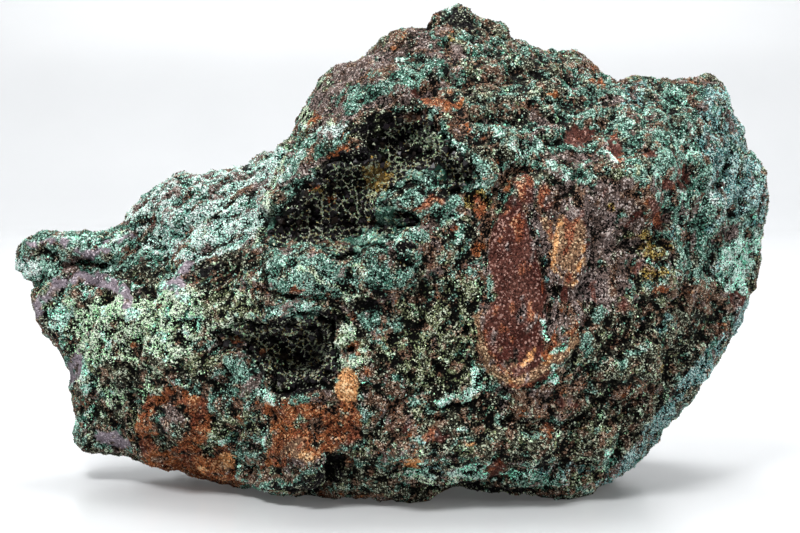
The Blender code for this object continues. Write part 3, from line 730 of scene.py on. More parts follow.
UPPER_MIDDLE = (
    Field(M.TEAL, ((470, 36), (540, 46), (600, 62), (640, 84), (640, 170), (560, 160), (500, 150),
                   (450, 110), (440, 60)), 12, 0.62),
    Field(M.DARK, ((450, 60), (500, 44), (566, 58), (592, 100), (560, 136), (500, 142),
                   (458, 112)), 16, 0.72),
    *patches(M.DARK,
        (480, 90, 34, 30, 0.85, 30), (478, 150, 26, 9, 0.9, 15), (540, 66, 34, 8, 0.8, 20),
        (548, 178, 30, 7, 0.85, 12), (524, 180, 14, 6, 0.8, 20),
    ),
    *patches(M.BROWN,
        (496, 74, 34, 14, 0.75, 30), (520, 108, 40, 14, 0.72), (462, 132, 15, 15, 0.85, 30),
        (590, 68, 16, 6, 0.9, 20), (596, 122, 26, 8, 0.85), (505, 176, 20, 8, 0.85, 10),
    ),
    *patches(M.OLIVE, (472, 66, 18, 12, 0.7, 30)),
    *patches(M.TEAL,
        (498, 128, 26, 11, 0.95, 10), (580, 92, 36, 14, 0.9), (570, 178, 30, 12, 0.85, 10),
    ),
    *patches(M.MINT,
        (500, 130, 13, 6, 0.9, 10), (524, 152, 12, 10, 0.95, 40), (568, 176, 7, 5, 0.95),
    ),
    *patches(M.ORANGE, (553, 91, 9, 5, 0.95), (600, 84, 8, 7, 0.9, 20)),
    *patches(M.MAROON,
        (580, 136, 17, 11, 1.15), (614, 146, 10, 12, 1.1, 30), (650, 154, 10, 5, 1.1),
    ),
    *patches(M.RED, (618, 160, 6, 5, 1.1)),
    *patches(M.DUSK, (535, 122, 12, 20, 0.75), (576, 156, 26, 9, 0.85)),
    Vein(M.MINT, ((606, 150), (613, 162)), 2.5, 1.2),
)
PLATE = (
    Field(M.MAROON, ((512, 196), (500, 215), (491, 235), (488, 255), (490, 275), (494, 300),
                     (480, 308), (480, 330), (484, 362), (506, 380), (530, 372), (545, 352),
                     (546, 300), (542, 262), (532, 226), (524, 200)), 3.5, 1.35),
    Field(M.DUSK, ((560, 176), (640, 180), (650, 260), (636, 312), (580, 330), (556, 300),
                   (530, 220), (524, 190)), 9, 0.8),
    Field(M.GOLD, ((545, 222), (562, 212), (582, 220), (588, 250), (584, 280), (576, 290),
                   (562, 284), (552, 262)), 4, 1.45),
    Field(M.BROWN, ((512, 392), (545, 382), (582, 376), (588, 400), (560, 416), (540, 420),
                    (518, 416)), 6, 1.1),
    *patches(M.RED,
        (526, 188, 9, 14, 1.5, -15), (545, 198, 9, 12, 1.2, -20), (524, 266, 7, 20, 1.25, -10),
        (524, 322, 9, 14, 1.3),
    ),
    *patches(M.MAROON,
        (512, 224, 14, 14, 1.5), (500, 262, 10, 22, 1.45, 10), (512, 312, 20, 10, 1.5),
        (566, 402, 18, 9),
    ),
    *patches(M.DUSK,
        (516, 246, 14, 16, 1.1), (524, 300, 10, 9, 1.2), (562, 318, 10, 12, 1.1),
        (550, 392, 18, 9, 1.15),
    ),
    *patches(M.GOLD, (504, 350, 16, 12, 1.3), (570, 248, 12, 22, 1.5)),
    *patches(M.DARK, (512, 362, 9, 4, 1.6, -25)),
    *patches(M.ORANGE,
        (548, 344, 9, 22, 1.35, 10), (571, 335, 6, 12, 1.3, 20), (522, 408, 11, 9, 1.3, -20),
        (480, 205, 8, 14), (477, 248, 5, 10),
    ),
    *patches(M.PEACH, (572, 281, 8, 5, 1.6, -20)),
    *patches(M.BROWN, (566, 310, 12, 20, 1.1), (486, 232, 10, 26, 0.9)),
    # The black patch at (571, 360) is painted shade under the plate's lower lip.
    *patches(M.BLACK, (571, 360, 4, 10, 1.3, 20), (527, 418, 9, 3, 1.3, -10)),
    *patches(M.OCHRE, (478, 200, 14, 14, 0.9)),
    Vein(M.GOLD, ((484, 306), (481, 325), (483, 350), (492, 366), (506, 380)), 5.5, 1.6),
    Vein(M.GOLD, ((506, 381), (528, 374), (548, 366), (560, 352), (571, 340)), 6, 1.6),
    Vein(M.RED, ((489, 330), (490, 350), (500, 366), (512, 374)), 2.0, 1.75),
    Vein(M.RED, ((506, 386), (530, 379), (552, 371)), 2.0, 1.7),
    Vein(M.PEACH, ((505, 372), (520, 364), (532, 352)), 3, 1.6),
    Vein(M.GOLD, ((545, 222), (552, 245), (553, 270)), 5, 1.5),
    Vein(M.PEACH, ((558, 222), (553, 240), (553, 266)), 3.5, 1.8),
    Vein(M.DUSK, ((527, 206), (534, 236), (541, 262), (547, 284), (549, 312), (548, 336)), 6.5, 1.6),
    Vein(M.DARK, ((532, 226), (537, 244), (543, 268), (547, 290), (549, 316)), 3, 1.75),
    Vein(M.BLUE, ((536, 232), (543, 262), (550, 300)), 1.8, 1.7),
    Vein(M.DUSK, ((540, 222), (546, 250), (551, 276)), 3, 1.4),
    Vein(M.MINT, ((545, 322), (549, 342)), 2.5, 1.9),
    Vein(M.MINT, ((553, 356), (560, 349), (568, 338)), 3.5, 1.9),
    Vein(M.MINT, ((554, 372), (561, 382)), 3, 1.8),
)
RIGHT_SIDE = (
    Field(M.TEAL, ((620, 84), (680, 80), (734, 88), (765, 170), (764, 250), (742, 292), (690, 280),
                   (660, 220), (620, 170)), 12, 0.8),
    Field(M.BLUE, ((700, 84), (730, 84), (748, 130), (768, 180), (768, 220), (744, 236), (712, 200),
                   (690, 140)), 10, 0.92),
    *patches(M.BLUE,
        (744, 160, 12, 50, 0.95, 10), (640, 98, 26, 14, 0.8), (716, 268, 14, 14, 0.9),
        (669, 228, 6, 8, 0.95),
    ),
    *patches(M.FROST, (716, 190, 16, 30, 0.95, -10)),
    *patches(M.DUSK, (610, 100, 24, 10, 0.72), (728, 232, 18, 12, 0.85), (668, 218, 12, 8, 0.8)),
    *patches(M.BROWN,
        (700, 104, 12, 14, 0.8), (690, 82, 26, 5, 0.8), (712, 166, 12, 26, 0.8),
        (752, 200, 8, 26, 0.75), (640, 205, 30, 24, 0.75), (700, 300, 36, 16, 0.95),
        (718, 330, 14, 10, 0.95),
    ),
    *patches(M.OLIVE, (672, 112, 20, 12, 0.75), (632, 175, 24, 10, 0.85)),
    *patches(M.MINT,
        (692, 152, 8, 8, 1.1), (680, 196, 9, 12, 0.85), (736, 264, 15, 26, 2.2, 10),
        (757, 247, 6, 9, 1.15),
    ),
    *patches(M.MAROON,
        (684, 178, 10, 22, 0.85), (655, 212, 7, 17, 1.2, -10), (668, 186, 14, 10, 0.85),
        (735, 298, 12, 10, 0.85),
    ),
    *patches(M.TEAL, (722, 224, 24, 10), (690, 262, 14, 10, 0.8)),
    *patches(M.BLACK, (727, 212, 9, 6, 1.2, 20), (624, 244, 6, 6, 1.35)),
    *patches(M.DARK, (738, 218, 14, 5, 0.95, 20), (632, 256, 20, 8, 0.9), (706, 320, 26, 12, 0.9)),
    *patches(M.OCHRE,
        (610, 207, 7, 10, 0.95), (655, 250, 20, 8, 1.2, -5), (636, 236, 16, 9),
        (650, 272, 26, 8, 0.9),
    ),
    *patches(M.ORANGE, (664, 290, 12, 6, 0.75)),
    Vein(M.BLUE, ((700, 232), (722, 218), (745, 220)), 4, 0.95),
)
LOWER_RIGHT = (
    Field(M.DARK, ((572, 300), (640, 280), (710, 300), (735, 310), (700, 380), (650, 440),
                   (600, 470), (420, 460), (400, 400), (480, 385), (560, 420), (590, 380)), 14, 0.72),
    Field(M.BLUE, ((748, 292), (752, 318), (724, 358), (690, 400), (660, 436), (620, 482),
                   (600, 486), (632, 446), (662, 404), (696, 362), (726, 330)), 5, 1.1),
    *patches(M.TEAL,
        (599, 316, 7, 10, 1.35), (632, 352, 20, 6), (588, 346, 10, 14, 0.9),
        (592, 388, 9, 5, 0.95, 30), (668, 398, 7, 9, 0.9), (676, 388, 20, 4, 1.1, -50),
        (610, 460, 9, 8, 1.15), (540, 482, 24, 7, 1.05),
    ),
    *patches(M.MINT, (646, 346, 6, 6, 0.95), (588, 396, 5, 4), (610, 452, 5, 5, 1.1)),
    *patches(M.PALE, (630, 356, 5, 3)),
    *patches(M.BLUE, (662, 322, 24, 14, 0.68), (566, 470, 28, 7, 0.95, -5)),
    *patches(M.OLIVE,
        (660, 300, 24, 10, 0.85), (660, 370, 34, 12, 0.75, -10), (604, 424, 28, 14, 0.85, -15),
        (590, 478, 20, 7, 0.9, -10),
    ),
    *patches(M.BROWN,
        (640, 392, 34, 14, 0.8, -10), (560, 446, 26, 8, 0.7), (560, 492, 26, 5, 0.85),
    ),
    *patches(M.OCHRE, (580, 428, 22, 10, 0.7, -10), (668, 372, 16, 7, 0.8)),
    *patches(M.ORANGE, (545, 432, 10, 6, 1.0, 20)),
    *patches(M.DARK,
        (690, 392, 26, 6, 1.2, -50), (722, 356, 16, 5, 1.15, -50), (640, 444, 28, 5, 1.0, -45),
        (580, 452, 34, 8, 0.95, -10),
    ),
    *patches(M.BLACK, (543, 462, 8, 9, 0.95)),
)
LOWER_MIDDLE = (
    Field(M.OLIVE, ((400, 300), (440, 270), (486, 280), (478, 340), (486, 380), (440, 392),
                    (400, 388), (380, 350)), 12, 0.72),
    # The dark patches at (370, 480) and (420, 494) are painted shade on the foot, which lies in
    # shadow.
    *patches(M.DARK,
        (440, 320, 34, 30, 0.7), (470, 430, 50, 16, 0.85), (370, 480, 36, 20), (420, 494, 20, 8),
    ),
    *patches(M.BROWN,
        (424, 300, 30, 8, 0.8), (420, 350, 30, 18, 0.62), (400, 420, 18, 34, 0.8),
        (380, 400, 20, 24, 0.7), (360, 500, 34, 7, 0.95),
    ),
    *patches(M.TEAL, (446, 294, 16, 9, 0.75), (492, 384, 14, 6, 0.95, 10), (412, 404, 5, 5, 0.85)),
    *patches(M.PALE, (470, 330, 8, 20, 0.75), (462, 476, 12, 5)),
    *patches(M.MINT,
        (402, 252, 6, 18, 0.9, -10), (476, 376, 6, 8, 1.2), (462, 430, 6, 3, 1.1, -10),
        (417, 470, 18, 8, 0.85), (468, 472, 20, 8, 1.15), (515, 474, 12, 5, 0.95),
    ),
    # The black patches at (330, 466), (300, 484) and (470, 488) are painted shade: in the notch,
    # under the lower left lip and under the overhang along the bottom.
    *patches(M.BLACK,
        (495, 402, 14, 8, 0.9), (330, 466, 18, 16, 1.25, -10), (300, 484, 44, 7, 1.1, -5),
        (470, 488, 60, 6, 1.3, 3),
    ),
    *patches(M.MAROON, (402, 424, 12, 18, 0.85), (496, 466, 8, 9)),
    *patches(M.RED, (430, 434, 14, 10, 0.9, 10), (446, 438, 9, 6, 0.9)),
    *patches(M.ORANGE, (425, 428, 9, 6, 0.9)),
    *patches(M.OLIVE, (470, 448, 44, 8, 0.7)),
    *patches(M.PEACH, (411, 461, 9, 4, 1.3), (470, 444, 6, 3)),
    Vein(M.MINT, MINT_CREST, 3.6, 1.7),
    Vein(M.TEAL, ((250, 488), (280, 483), (300, 478), (318, 470), (321, 458)), 3, 1.3),
    Vein(M.PALE, FOOT_EDGE, 2.5, 1.0),
)
FRONT = (
    *LEFT_LOBE, *LEFT_SHOULDER, *PALE_DRUSE, *LOWER_LEFT, *ORANGE_BAND, *HOLLOWS_ROUND,
    *UPPER_DOME, *UPPER_MIDDLE, *PLATE, *RIGHT_SIDE, *LOWER_RIGHT, *LOWER_MIDDLE,
)
COMMON = {
    M.DARK: 0.42, M.TEAL: 0.40, M.BROWN: 0.36, M.OLIVE: 0.28, M.DUSK: 0.26, M.BLUE: 0.18,
    M.BLACK: 0.16, M.PALE: 0.12, M.MINT: 0.10, M.ORANGE: 0.06, M.MAROON: 0.02, M.OCHRE: 0.02,
}


@dataclass
class MineralMap:
    """Says which mineral is where, on the front by its patches and elsewhere by chance.

    Args:
        front: The patches and veins of the front.
        common: How readily each mineral takes a place that no patch claims.
        wander: How far the patches' edges wander, in steps of the frame.
        coarse: The width and the share of the edges' wide bends.
        fine: The width and the share of their narrow bends.
        growth: How strongly neighbours grow into each other.
        mix: The coarse and the fine width at which they do.
        spread: The width of the stretches that the back and the top have.
        vary: How strongly the minerals vary between such stretches.
        clump: The width of the clumps that a mineral's company grows in.
        stray: The share of single crystals that are of the company, clump or none.
    """

    front: tuple[Patch | Vein | Field, ...] = FRONT
    common: dict[Mineral, float] = field(default_factory=COMMON.copy)
    wander: float = 8.0
    coarse: Pair = (7.0, 0.7)
    fine: Pair = (2.4, 0.5)
    growth: float = 0.26
    mix: Pair = (4.2, 1.6)
    spread: float = 24.0
    vary: float = 0.45
    clump: float = 3.4
    stray: float = 0.3

    def choose(self, points: Array, normals: Array) -> Array:
        """Chooses the mineral of each place.

        Args:
            points: The places on the stone.
            normals: The way that the surface faces there.

        Returns:
            Each place's number in MINERALS.
        """
        front = smoothstep(-0.35, 0.1, VIEW.facing(points, normals))
        places = VIEW.places(points)
        for axis in range(2):
            coarse = Noise(Seed.COARSE_BENDS + axis).smooth(points, self.coarse[0])
            fine = Noise(Seed.FINE_BENDS + axis).smooth(points, self.fine[0])
            places[:, axis] += self.wander * (self.coarse[1] * coarse + self.fine[1] * fine)
        scores = np.full((len(points), len(MINERALS)), -1.0)
        for index, mineral in enumerate(MINERALS):
            if mineral not in self.common:
                continue
            stretch = self.vary * Noise(Seed.STRETCHES + index).layered(points, self.spread, 2)
            scores[:, index] = self.common[mineral] + stretch * (1.0 - 0.75 * front)
        for patch in self.front:
            column = NUMBER[patch.mineral]
            low, high = patch.span()
            near = np.flatnonzero(((places > low) & (places < high)).all(axis=1))
            claim = front[near] * patch.score(places[near])
            scores[near, column] = np.maximum(scores[near, column], claim)
        for index in range(len(MINERALS)):
            noise = Noise(Seed.GROWTH + index)
            drawn_out = (1.0, 1.0, 0.3) if MINERALS[index] in UPRIGHT else (1.0, 1.0, 1.0)
            spots = points * drawn_out
            coarse, fine = (noise.smooth(spots + 57.0 * n, width) for n, width in enumerate(self.mix))
            scores[:, index] += self.growth * (coarse + 0.9 * fine)
        return scores.argmax(axis=1)

    def mingled(self, kinds: Array, points: Array, chance: Chance | None = None) -> Array:
        """Lets each mineral's company grow among it, in clumps.

        Args:
            kinds: Each place's mineral, by its number.
            points: The places.
            chance: Where the single strays come from, or None for clumps alone.

        Returns:
            The mineral of each place with its company.
        """
        mingled = kinds.copy()
        for row, mineral in enumerate(MINERALS):
            own = np.flatnonzero(kinds == row)
            if not len(own):
                continue
            for number, (other, share) in enumerate(TONES[mineral].company):
                noise = Noise(Seed.COMPANY + 8 * row + number)
                pattern = noise.streaky if mineral in STREAKED else noise.layered
                clumps = pattern(points[own], self.clump, 2)
                grows = clumps > np.quantile(clumps, 1.0 - share)
                if chance is not None:
                    lone = chance.random(len(own))
                    grows = np.where(lone < self.stray, lone < self.stray * share, grows)
                mingled[own[grows]] = NUMBER[other]
        return mingled


# ---------------------------------------------------------------- relief of the front


@dataclass(frozen=True)
class Crease:
    """A ridge along a line of the front, or a groove where its height is below 0.

    Args:
        line: The points that it follows.
        half: Half its width, in steps of the frame.
        height: Its height, in millimetres.
    """

    line: Line
    half: float
    height: float

    def lift(self, places: Array) -> Array:
        """How far it lifts the surface at each place, in millimetres."""
        away, _ = line_distance(places, self.line)
        return self.height * np.exp(-((away / self.half) ** 2))


@dataclass(frozen=True)
class Ledge:
    """A step along a line: the ground to the right of the way it runs stands higher.

    Args:
        line: The points that it follows.
        height: Its height, in millimetres.
        reach: How far the high ground runs out, in steps of the frame.
        edge: How wide the step's slope is, in steps of the frame.
    """

    line: Line
    height: float
    reach: float = 30.0
    edge: float = 2.0

    def lift(self, places: Array) -> Array:
        """How far it lifts the surface at each place, in millimetres."""
        away, side = line_distance(places, self.line)
        high = smoothstep(-self.edge, self.edge, away * side)
        return self.height * high * (1.0 - smoothstep(0.3 * self.reach, self.reach, away))


@dataclass(frozen=True)
class Knob:
    """A rounded lump of the front, or a pit where its height is below 0.

    Args:
        middle: Its middle, across and down.
        half: Half its length and half its width.
        height: Its height, in millimetres.
        tilt: How far its length slopes down to the right, in degrees.
    """

    middle: Pair
    half: Pair
    height: float
    tilt: float = 0.0

    def lift(self, places: Array) -> Array:
        """How far it lifts the surface at each place, in millimetres."""
        reach = turned_reach(places, self.middle, self.half, self.tilt)
        return self.height * (1.0 - smoothstep(0.0, 1.2, reach))


RELIEF: tuple[Crease | Ledge | Knob, ...] = (
    Crease(HOLLOW_EDGE, 4.0, 1.1),
    Ledge(HOLLOW_EDGE[::-1], 0.9, 40),
    Crease(TIP_RIDGE, 4.0, 1.2),
    Ledge(TIP_RIDGE[::-1], -1.2, 24),
    Crease(SHOULDER_RIDGE, 6.0, 1.5),
    Ledge(SHOULDER_RIDGE[:-1], -0.8, 26),
    Crease(SHOULDER_FORK, 6.0, 1.3),
    Crease(LOBE_EDGE, 4.0, 0.9),
    Knob((247, 170), (7, 8), -2.2),
    Knob((170, 215), (18, 16), 1.0, 20),
    Knob((200, 235), (20, 12), 0.8, -20),
    Knob((148, 232), (14, 16), 0.9),
    Crease(HOLLOW_ARCH, 5.0, 1.3),
    Crease(BRIDGE_EDGE, 4.5, 1.1),
    Knob((276, 262), (16, 11), 1.2, 10),
    Knob((318, 262), (18, 9), 1.0, 20),
    Crease(((258, 290), (290, 294), (322, 297)), 4.0, -1.5),
    Crease(((262, 312), (290, 309), (322, 305)), 5.0, 1.1),
    Knob((262, 330), (22, 10), -1.8),
    Knob((348, 334), (10, 12), 1.2, -10),
    Crease(POCKET_EDGE, 4.0, 0.9),
    Knob((352, 350), (9, 8), -2.4),
    Knob((365, 302), (16, 10), -1.6),
    Knob((402, 260), (10, 8), -1.4),
    Knob((382, 290), (10, 6), -1.4),
    Knob((170, 424), (34, 34), 1.4),
    Crease(((150, 408), (162, 398), (182, 398), (196, 412), (196, 432), (182, 448), (162, 448),
            (150, 434)), 4.0, -0.8),
    Knob((348, 388), (10, 14), 1.2, 10),
    Ledge(((506, 382), (490, 366), (482, 345), (479, 318), (494, 300), (489, 270), (492, 235),
           (512, 197)), 1.1, 30),
    Crease(((484, 308), (482, 330), (486, 356), (504, 376)), 2.0, -0.5),
    Crease(((489, 312), (487, 332), (492, 354), (508, 370)), 2.2, 0.5),
    Crease(((507, 377), (530, 370), (552, 360), (564, 344)), 2.0, -0.55),
    Crease(((510, 383), (534, 377), (556, 367), (569, 350)), 2.0, 0.6),
    Crease(((509, 370), (528, 362), (546, 352), (556, 334)), 2.2, 0.5),
    Ledge(((573, 338), (566, 356), (550, 370), (530, 378), (506, 384)), 1.3, 26),
    Crease(((530, 222), (536, 240), (541, 262), (547, 284), (549, 312), (548, 336)), 3.2, -0.9),
    Crease(((548, 225), (553, 248), (554, 270)), 2.4, 0.8),
    Ledge(((560, 286), (574, 290), (586, 280), (590, 250), (584, 222)), -0.9, 22),
    Crease(((556, 300), (552, 320), (547, 345)), 2.2, 0.6),
    Knob((512, 312), (18, 26), 0.5),
    Ledge(((588, 400), (566, 416), (540, 421), (516, 418), (511, 396)), 1.0, 24),
    Knob((527, 419), (10, 4), -1.8),
    Knob((571, 360), (4, 12), -1.8, 20),
    Crease(MINT_CREST, 3.0, 0.9),
    Crease(((436, 408), (460, 403), (482, 395)), 3.0, -0.8),
    Knob((727, 212), (10, 7), -2.4, 20),
    Crease(((702, 232), (722, 220), (742, 222)), 4.0, 0.8),
    Knob((624, 244), (6, 6), -2.2),
    Knob((655, 254), (18, 8), 0.7),
    Crease(((745, 292), (724, 326), (694, 360), (660, 402), (630, 446), (604, 478)), 5.0, 1.1),
    Crease(((250, 487), (280, 483), (300, 478), (317, 470), (321, 456)), 3.5, 1.0),
    Knob((332, 466), (16, 16), -2.6),
    Crease(((300, 486), (330, 484)), 5.0, -1.6),
    Crease(((400, 484), (450, 488), (520, 489), (560, 492)), 6.0, -1.6),
    Crease(FOOT_EDGE, 3.0, 0.9),
    Knob((543, 464), (10, 8), -1.4),
    Knob((598, 316), (9, 11), 0.7),
    Crease(((430, 96), (455, 104)), 3.0, -0.8),
    Crease(((325, 156), (357, 144)), 3.0, -0.8),
)


# ---------------------------------------------------------------- meshes


@dataclass
class Shape:
    """A triangle mesh as arrays.

    Args:
        points: The vertices' places.
        triangles: Each triangle's three vertices, anticlockwise from outside.
    """

    points: Array
    triangles: Array

    def face_normals(self) -> Array:
        """Each triangle's normal, as long as twice its area."""
        a, b, c = (self.points[self.triangles[:, corner]] for corner in range(3))
        return np.cross(b - a, c - a)

    def normals(self) -> Array:
        """Each vertex's normal, of length 1.

        Returns:
            One way for each vertex.
        """
        faces = self.face_normals()
        total = np.zeros_like(self.points)
        for corner in range(3):
            for axis in range(3):
                total[:, axis] += np.bincount(
                    self.triangles[:, corner], faces[:, axis], len(self.points)
                )
        return total / np.maximum(np.linalg.norm(total, axis=1), 1e-12)[:, None]

    def areas(self) -> Array:
        """Each triangle's area."""
        return np.linalg.norm(self.face_normals(), axis=1) / 2.0

    def neighbours_mean(self, values: Array, rounds: int = 1) -> Array:
        """Each vertex's mean of a value over the vertices that it shares an edge with.

        Args:
            values: One value or one row of values for each vertex.
            rounds: How many times the mean is taken.

        Returns:
            The means, in the same form.
        """
        ends = self.triangles[:, [0, 1, 1, 2, 2, 0]].reshape(-1, 2)
        both = np.concatenate([ends, ends[:, ::-1]])
        count = np.bincount(both[:, 0], minlength=len(self.points))
        mean = values.reshape(len(self.points), -1)
        for _ in range(rounds):
            sums = [np.bincount(both[:, 0], column[both[:, 1]], len(count)) for column in mean.T]
            mean = np.stack(sums, axis=1) / count[:, None]
        return mean.reshape(values.shape)

    def refined(self, longest: Callable[[Shape], Array], rounds: int) -> Shape:
        """Splits long edges at their middles.

        Args:
            longest: Gives the longest edge wanted at each vertex.
            rounds: How many times it goes over the mesh.

        Returns:
            The finer mesh.
        """
        shape = self
        for _ in range(rounds):
            shape = shape.split_once(longest(shape))
        return shape

    def split_once(self, longest: Array) -> Shape:
        """Splits each edge that is longer than wanted once.

        Args:
            longest: The longest edge wanted at each vertex.

        Returns:
            The finer mesh.
        """
        count = len(self.points)
        ends = np.sort(self.triangles[:, [[0, 1], [1, 2], [2, 0]]].reshape(-1, 2), axis=1)
        keys = ends[:, 0] * count + ends[:, 1]
        _, first, index = np.unique(keys, return_index=True, return_inverse=True)
        ends = ends[first]
        length = np.linalg.norm(self.points[ends[:, 0]] - self.points[ends[:, 1]], axis=1)
        split = length > longest[ends].mean(axis=1)
        middle = np.full(len(ends), -1)
        middle[split] = count + np.arange(split.sum())
        points = np.concatenate([self.points, self.points[ends[split]].mean(axis=1)])
        marks = middle[index.reshape(-1)].reshape(-1, 3)
        number = (marks >= 0).sum(axis=1)
        kept = [self.triangles[number == 0]]
        a, b, c, ab, _, _ = self.turned(number == 1, marks, (marks >= 0).argmax(axis=1))
        kept += [np.stack([a, ab, c], 1), np.stack([ab, b, c], 1)]
        whole = ((marks < 0).argmax(axis=1) + 1) % 3
        a, b, c, ab, bc, _ = self.turned(number == 2, marks, whole)
        kept += [np.stack([ab, b, bc], 1), np.stack([a, ab, bc], 1), np.stack([a, bc, c], 1)]
        a, b, c, ab, bc, ca = self.turned(number == 3, marks, np.zeros(len(marks), int))
        quarters = ((a, ab, ca), (ab, b, bc), (ca, bc, c), (ab, bc, ca))
        kept += [np.stack(corners, 1) for corners in quarters]
        return Shape(points, np.concatenate(kept))

    def turned(self, chosen: Array, marks: Array, turn: Array) -> list[Array]:
        """The chosen triangles' corners and edge middles, each turned so that edge turn comes first.

        Args:
            chosen: Which triangles are wanted.
            marks: The number of each edge's middle.
            turn: The edge of each triangle that comes first.

        Returns:
            Three columns of corners and three of edge middles.
        """
        order = (turn[chosen][:, None] + np.arange(3)) % 3
        corners = np.take_along_axis(self.triangles[chosen], order, axis=1)
        middles = np.take_along_axis(marks[chosen], order, axis=1)
        return [*corners.T, *middles.T]


def shape_of(node: bpy.types.Object) -> Shape:
    """Reads a node's mesh, with the vertices that share a place made one.

    Args:
        node: The object.

    Returns:
        Its mesh.
    """
    mesh = node.data
    mesh.calc_loop_triangles()
    points = np.empty(3 * len(mesh.vertices), np.float32)
    mesh.vertices.foreach_get("co", points)
    corners = np.empty(3 * len(mesh.loop_triangles), np.int32)
    mesh.loop_triangles.foreach_get("vertices", corners)
    rounded = np.round(points.reshape(-1, 3).astype(float) / MM, 4)
    places, index = np.unique(rounded, axis=0, return_inverse=True)
    triangles = index.reshape(-1)[corners].reshape(-1, 3).astype(int)
    a, b, c = triangles.T
    return Shape(places, triangles[(a != b) & (b != c) & (c != a)])


@dataclass
class Piece:
    """A mesh that is ready to be made, with what its finish reads.

    Args:
        name: The object's name.
        shape: Its mesh.
        colours: Linear colours of each vertex, by name.
        places: Each triangle corner's place on the piece's map, from 0 to 1.
        values: Further numbers for each vertex, by name.
        smooth: Whether it is shaded smooth.
    """

    name: str
    shape: Shape
    colours: dict[str, Array]
    places: Array
    values: dict[str, Array] = field(default_factory=dict)
    smooth: bool = False

    def make(self, finish: bpy.types.Material, slot: str) -> bpy.types.Object:
        """Makes the object, in its finish, and lets it ride on the stone's body.

        Args:
            finish: Its material.
            slot: Not used.

        Returns:
            The object.
        """
        mesh = bpy.data.meshes.new(self.name)
        count = len(self.shape.triangles)
        mesh.vertices.add(len(self.shape.points))
        mesh.vertices.foreach_set("co", (self.shape.points * MM).astype(np.float32).ravel())
        mesh.loops.add(3 * count)
        mesh.loops.foreach_set("vertex_index", self.shape.triangles.astype(np.int32).ravel())
        mesh.polygons.add(count)
        mesh.polygons.foreach_set("loop_start", np.arange(0, 3 * count, 3, dtype=np.int32))
        mesh.update(calc_edges=True)
        for name, colour in self.colours.items():
            layer = mesh.color_attributes.new(name=name, type="FLOAT_COLOR", domain="POINT")
            opaque = np.concatenate([colour, np.ones((len(colour), 1))], axis=1)
            layer.data.foreach_set("color", opaque.astype(np.float32).ravel())
        for name, value in self.values.items():
            numbers = mesh.attributes.new(name=name, type="FLOAT", domain="POINT")
            numbers.data.foreach_set("value", value.astype(np.float32))
        layer = mesh.uv_layers.new(name="OFBake")
        layer.uv.foreach_set("vector", self.places.astype(np.float32).ravel())
        mesh.polygons.foreach_set("use_smooth", np.full(count, self.smooth))
        mesh.materials.append(finish)
        made = bpy.data.objects.new(self.name, mesh)
        bpy.context.scene.collection.objects.link(made)
        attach(made, BODY)
        log.info("%s: %d triangles", self.name, count)
        return made


@dataclass(frozen=True)
class SixSides:
    """Lays a solid's surface out as it is seen from its six sides.

    Args:
        margin: The gap between two sides.
    """

    margin: float = 3.0

    def lay(self, shape: Shape, facing: Array) -> Array:
        """Gives each triangle corner its place on the map.

        Args:
            shape: The mesh.
            facing: The way that each vertex faces, smoothed, which picks its side.

        Returns:
            Three places from 0 to 1 for each triangle, one under another.
        """
        low = shape.points.min(axis=0)
        size = shape.points.max(axis=0) - low
        looks = facing[shape.triangles].sum(axis=1)
        axis = np.abs(looks).argmax(axis=1)
        front = np.take_along_axis(looks, axis[:, None], axis=1)[:, 0] > 0
        whole = max(2 * size[0] + 3 * self.margin, 2 * size[2] + size[1] + 4 * self.margin)
        corners = shape.points[shape.triangles] - low
        places = np.zeros((len(axis), 3, 2))
        bottom = self.margin
        for side, across, up in ((1, 0, 2), (2, 0, 1), (0, 1, 2)):
            on = axis == side
            left = self.margin + front[on] * (size[across] + self.margin)
            places[on, :, 0] = left[:, None] + corners[on][:, :, across]
            places[on, :, 1] = bottom + corners[on][:, :, up]
            bottom += size[up] + self.margin
        return places.reshape(-1, 2) / whole


def cell_map(faces: Array) -> Array:
    """Gives each of many small bodies a square of the map, which all its faces share.

    Args:
        faces: How many triangles each body has.

    Returns:
        Three places from 0 to 1 for each triangle, one under another.
    """
    across = math.ceil(math.sqrt(len(faces)))
    number = np.repeat(np.arange(len(faces)), faces)
    corner = np.stack([number % across, number // across], axis=1)
    form = np.array([(0.1, 0.1), (0.9, 0.1), (0.5, 0.9)])
    return ((corner[:, None] + form[None]) / across).reshape(-1, 2)


class Form(Enum):
    """The forms that the crystals take: their corners, and their faces seen from outside."""

    SPIKE = (
        ((1.0, 0.0, 0.0), (-0.5, 0.87, 0.0), (-0.5, -0.87, 0.0), (0.0, 0.0, 1.0)),
        ((0, 1, 3), (1, 2, 3), (2, 0, 3)),
    )
    OCTAHEDRON = (
        ((1, 0, 0), (0, 1, 0), (-1, 0, 0), (0, -1, 0), (0, 0, 1), (0, 0, -1)),
        ((0, 1, 4), (1, 2, 4), (2, 3, 4), (3, 0, 4), (1, 0, 5), (2, 1, 5), (3, 2, 5), (0, 3, 5)),
    )

    @property
    def corners(self) -> Array:
        """The corners' places on a crystal of size 1."""
        return np.array(self.value[0], float)

    @property
    def faces(self) -> Array:
        """Each face's three corners."""
        return np.array(self.value[1])


